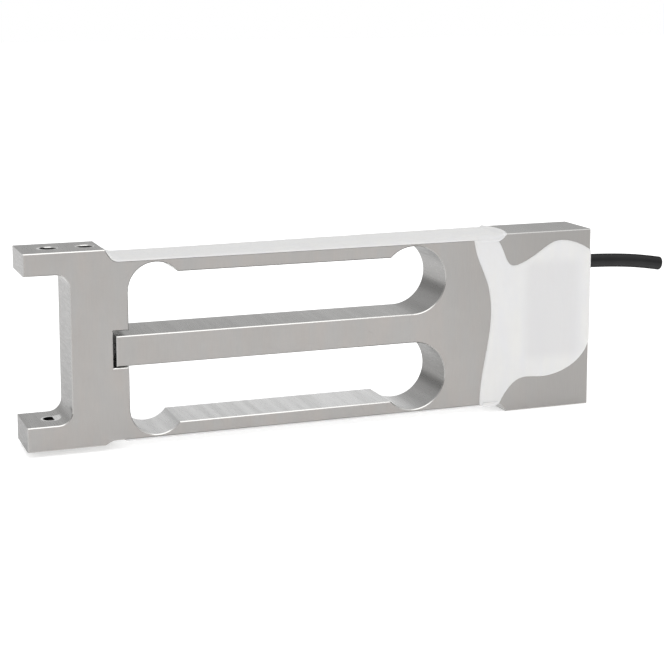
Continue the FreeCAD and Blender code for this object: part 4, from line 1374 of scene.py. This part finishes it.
@dataclass
class Threads:
    """Thread ridges in every tapped hole that the record states as a mount.

    Args:
        body: Body that the holes are in.
        palette: Where their material comes from.
        pitch: Pitch of the coarse metric thread.
        ridge: Height of its ridge, in from the tapping wall.
        sides: Steps of one turn.
    """

    body: Body
    palette: Palette
    pitch: float = 0.8 * MM
    ridge: float = 0.44 * MM
    sides: int = 40

    def ridge_group(self) -> bpy.types.NodeTree:
        """Geometry nodes that wind a triangular ridge round a bore, from its lower end up.

        Returns:
            The node group.
        """
        tree = bpy.data.node_groups.new("thread_ridge", "GeometryNodeTree")
        face = tree.interface
        for label, value in (("Radius", 2.1 * MM), ("Pitch", self.pitch), ("Length", 6.0 * MM),
                             ("Ridge", self.ridge)):
            face.new_socket(label, in_out="INPUT", socket_type="NodeSocketFloat").default_value = value
        face.new_socket("Material", in_out="INPUT", socket_type="NodeSocketMaterial")
        face.new_socket("Geometry", in_out="OUTPUT", socket_type="NodeSocketGeometry")
        graph = Graph(tree)
        take, give = graph.node("NodeGroupInput").outputs, graph.node("NodeGroupOutput").inputs
        turns = graph.maths("DIVIDE", take["Length"], take["Pitch"])
        line = graph.maths("ADD", take["Radius"], graph.maths("MULTIPLY", take["Ridge"], 0.5))
        spiral = graph.node("GeometryNodeCurveSpiral", {"Resolution": self.sides, "Rotations": turns,
                                                        "Start Radius": line, "End Radius": line,
                                                        "Height": take["Length"]})
        upright = graph.node("GeometryNodeSetCurveNormal", {"Curve": spiral.outputs["Curve"]}, mode="Z_UP")
        profile = graph.node("GeometryNodeCurvePrimitiveCircle", {"Resolution": 3, "Radius": take["Ridge"]},
                             mode="RADIUS")
        swept = graph.node("GeometryNodeCurveToMesh", {"Curve": upright.outputs["Curve"],
                                                       "Profile Curve": profile.outputs["Curve"],
                                                       "Fill Caps": True})
        solid = graph.node("GeometryNodeRealizeInstances", {"Geometry": swept.outputs["Mesh"]})
        painted = graph.node("GeometryNodeSetMaterial", {"Geometry": solid.outputs["Geometry"],
                                                         "Material": take["Material"]})
        graph.feed(give["Geometry"], painted.outputs["Geometry"])
        return tree

    def build(self) -> None:
        """Cut the threads of each stated hole."""
        group = self.ridge_group()
        for k, (centre, radius) in enumerate(tapped_holes()):
            self.cut(group, f"thread_{k + 1}", centre, radius)

    def cut(self, group: bpy.types.NodeTree, name: str, centre: Vector, radius: float) -> None:
        """Wind one hole's thread over the span in which it has a full wall.

        Args:
            group: Geometry nodes of the ridge.
            name: Name of the piece.
            centre: Point on the hole's axis.
            radius: Tapping radius.
        """
        low, high = self.body.bore_span(centre, radius)
        length = high - low - self.pitch / 2
        metal = self.palette.made["cut_thread"]
        mesh = evaluated(group, {"Radius": radius, "Length": length, "Material": metal})
        mesh.transform(Matrix.Translation((centre.x, centre.y, low + self.pitch / 4)))
        plain_object(name, mesh, metal)
        log.info("%s: %.1f mm of thread", name, length / MM)


def evaluated(group: bpy.types.NodeTree, values: dict) -> bpy.types.Mesh:
    """Plain mesh that a geometry node group gives.

    Args:
        group: The node group.
        values: Values of its inputs, by name.

    Returns:
        The mesh.
    """
    carrier = bpy.data.objects.new("carrier", bpy.data.meshes.new("carrier"))
    bpy.context.collection.objects.link(carrier)
    modifier = carrier.modifiers.new("nodes", "NODES")
    modifier.node_group = group
    for item in group.interface.items_tree:
        if item.in_out == "INPUT" and item.name in values:
            modifier[item.identifier] = values[item.name]
    graph = bpy.context.evaluated_depsgraph_get()
    mesh = bpy.data.meshes.new_from_object(carrier.evaluated_get(graph), preserve_all_data_layers=True,
                                           depsgraph=graph)
    bpy.data.objects.remove(carrier)
    return mesh


# ---- Cable ----


@dataclass
class Cable:
    """Jacket of the cable, open at its cut end, where the screen and the cores show.

    Args:
        body: Body that the cable leaves; not used.
        palette: Where its material comes from.
        route: Points that steer its middle line.
        diameter, wall, length: Sizes of the jacket; the length is not used.
        rim: Radius of its rounded rims.
        rounding: Share of that radius by which a rim's middle ring stands in.
        sides: Steps round it.
    """

    body: Body
    palette: Palette
    route: tuple[tuple[float, float, float], ...] = (
        (0.0945, 0.0, 0.0514), (0.107, 0.0, 0.0514), (0.1195, 0.0, 0.0509), (0.130, 0.0, 0.0499),
        (0.1375, 0.0, 0.0486))
    diameter: float = 5.0 * MM
    wall: float = 0.75 * MM
    length: float = 43.2 * MM
    rim: float = 0.3 * MM
    rounding: float = 0.3
    sides: int = 56

    def line(self) -> list[Vector]:
        """Points of the NURBS spline that the route controls.

        Returns:
            The points, from the pocket to the cut end.
        """
        curve = bpy.data.curves.new("cable_line", "CURVE")
        curve.dimensions = "3D"
        curve.resolution_u = 16
        spline = curve.splines.new("NURBS")
        spline.points.add(len(self.route) - 1)
        for point, place in zip(spline.points, self.route):
            point.co = (*place, 1.0)
        spline.order_u = 3
        spline.use_endpoint_u = True
        carrier = bpy.data.objects.new("cable_line", curve)
        bpy.context.collection.objects.link(carrier)
        mesh = bpy.data.meshes.new_from_object(carrier)
        places = [v.co.copy() for v in mesh.vertices]
        bpy.data.objects.remove(carrier)
        bpy.data.meshes.remove(mesh)
        return places

    def stops(self, line: list[Vector]) -> list[tuple[Vector, Vector, float]]:
        """Rings of the jacket's wall.

        Args:
            line: Points of the middle line.

        Returns:
            Centre, direction and radius of each ring: along the outside, and back inside.
        """
        outer, inner, rim = self.diameter / 2, self.diameter / 2 - self.wall, self.rim
        section = [(outer - rim, 0.0), (outer - rim * self.rounding, rim * self.rounding), (outer, rim)]
        ways = [(b - a).normalized() for a, b in zip(line, line[1:])]
        ways = [ways[0]] + [(a + b).normalized() for a, b in zip(ways, ways[1:])] + [ways[-1]]
        rings = [(line[0] + ways[0] * back, ways[0], radius) for radius, back in section]
        rings += [(place, way, outer) for place, way in zip(line[1:-1], ways[1:-1])]
        rings += [(line[-1] - ways[-1] * back, ways[-1], radius) for radius, back in reversed(section)]
        return rings + [(place, way, inner) for place, way in zip(reversed(line), reversed(ways))]

    def build(self) -> None:
        line = self.line()
        mesh = self.tube(self.stops(line))
        made = plain_object("jacket", mesh, self.palette.made["black_jacket"])
        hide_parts("cable_jacket")

    def tube(self, stops: list[tuple[Vector, Vector, float]]) -> bpy.types.Mesh:
        """Closed wall of rings, the last joined to the first.

        Args:
            stops: Centre, direction and radius of each ring.

        Returns:
            The mesh.
        """
        places, faces = [], []
        across = Vector((0.0, 1.0, 0.0))
        for place, way, radius in stops:
            up = across.cross(way).normalized()
            for k in range(self.sides):
                angle = math.tau * k / self.sides
                places.append(place + across * math.cos(angle) * radius + up * math.sin(angle) * radius)
        for j in range(len(stops)):
            for k in range(self.sides):
                here, there = j * self.sides, (j + 1) % len(stops) * self.sides
                ahead = (k + 1) % self.sides
                faces.append((here + k, here + ahead, there + ahead, there + k))
        mesh = bpy.data.meshes.new("jacket")
        mesh.from_pydata(places, [], faces)
        turned_outward(mesh)
        mesh.shade_smooth()
        return mesh


# ---- Studio ----


@dataclass(frozen=True)
class Shot:
    """Camera placing: turned about the aim point by degrees, at a distance in metres."""

    azimuth: float = -20.34
    elevation: float = 8.603
    distance: float = 0.5603
    aim: tuple[float, float, float] = (0.0062, 0.0, 0.0672)
    lens: float = 87.58
    sensor: float = 36.0
    shift_x: float = 0.0
    shift_y: float = -0.15
    clip: tuple[float, float] = (0.01, 20.0)


@dataclass
class Studio:
    """Floor, air, light and camera.

    Args:
        palette: Maker of the floor's material.
        shot: Placing of the camera.
        air: Strength of the air where it lights dull surfaces.
        mirrored_low: Strength of the low air in mirrors, to the left and to the right.
        floor_glow: Light that the floor gives off itself, so that it reads white.
        floor_reach: Half the floor's side.
        light_place, light_aim, light_size, light_power: The soft box overhead.
    """

    palette: Palette
    shot: Shot = Shot()
    air: float = 0.86
    mirrored_low: tuple[float, float] = (0.5, 0.78)
    floor_glow: float = 0.42
    floor_reach: float = 4.0
    light_place: tuple[float, float, float] = (0.0, -0.1, 0.75)
    light_aim: tuple[float, float, float] = (0.0, 0.0, 0.03)
    light_size: float = 0.7
    light_power: float = 1.5

    def build(self) -> None:
        """Set up the whole studio."""
        self.lay_floor()
        self.fill_air()
        self.hang_light()
        self.place_camera()
        bpy.context.scene.view_settings.view_transform = "Standard"

    def lay_floor(self) -> None:
        """Pale floor that the foot stands on."""
        mesh, reach = bpy.data.meshes.new("floor"), self.floor_reach
        corners = [(-reach, -reach, 0.0), (reach, -reach, 0.0), (reach, reach, 0.0), (-reach, reach, 0.0)]
        mesh.from_pydata(corners, [], [(0, 1, 2, 3)])
        floor = bpy.data.objects.new("floor", mesh)
        bpy.context.collection.objects.link(floor)
        material, graph, shader = self.palette.start("paper")
        fibre = graph.noise(graph.place(), 900.0)
        graph.fill(shader, {"Base Color": graph.mix(fibre, (0.90, 0.90, 0.90), (0.93, 0.93, 0.93)),
                            "Roughness": 0.95, "Specular IOR Level": 0.0, "Emission Color": rgba(WHITE),
                            "Emission Strength": self.floor_glow})
        mesh.materials.append(material)

    def fill_air(self) -> None:
        """Even air: white where the lens sees it, dimmer and graded where the metal mirrors it."""
        world = bpy.data.worlds.new("studio")
        world.use_nodes = True
        bpy.context.scene.world = world
        graph = Graph(world.node_tree)
        background = next(n for n in world.node_tree.nodes if n.type == "BACKGROUND")
        sky = graph.axes(graph.node("TexCoord").outputs["Generated"])
        low = graph.ramp(sky["X"], 0.1, 0.5, *self.mirrored_low)
        graded = graph.blend(graph.ramp(sky["Z"], 0.15, 0.8), low, 1.0)
        rays = graph.node("LightPath").outputs
        strength = graph.blend(rays["Is Glossy Ray"], self.air, graded)
        strength = graph.blend(rays["Is Camera Ray"], strength, 1.0)
        background.inputs["Color"].default_value = rgba(WHITE)
        graph.feed(background.inputs["Strength"], strength)

    def hang_light(self) -> None:
        """Square soft box over the cell."""
        data = bpy.data.lights.new("overhead", "AREA")
        data.size, data.energy, data.color = self.light_size, self.light_power, WHITE
        light = bpy.data.objects.new("overhead", data)
        light.location = self.light_place
        way = Vector(self.light_aim) - Vector(self.light_place)
        light.rotation_euler = way.to_track_quat("-Z", "Y").to_euler()
        bpy.context.collection.objects.link(light)

    def place_camera(self) -> None:
        """Camera of the shot, made the scene's own."""
        shot = self.shot
        turn, rise = math.radians(shot.azimuth), math.radians(shot.elevation)
        back = Vector((math.sin(turn) * math.cos(rise), -math.cos(turn) * math.cos(rise), math.sin(rise)))
        data = bpy.data.cameras.new("camera")
        data.lens, data.sensor_width = shot.lens, shot.sensor
        data.shift_x, data.shift_y = shot.shift_x, shot.shift_y
        data.clip_start, data.clip_end = shot.clip
        camera = bpy.data.objects.new("camera", data)
        camera.location = Vector(shot.aim) + back * shot.distance
        camera.rotation_euler = (-back).to_track_quat("-Z", "Y").to_euler()
        bpy.context.collection.objects.link(camera)
        bpy.context.scene.camera = camera


def main() -> None:
    """Dress the frame, build the pieces in order and light them."""
    logging.basicConfig(level=logging.INFO, format="%(name)s: %(message)s")
    palette = Palette()
    palette.dress_nodes()
    body = Body()
    for maker in (Cable, Silicone, Threads):
        maker(body, palette).build()
    Studio(palette).build()


if __name__ == "__main__":
    main()
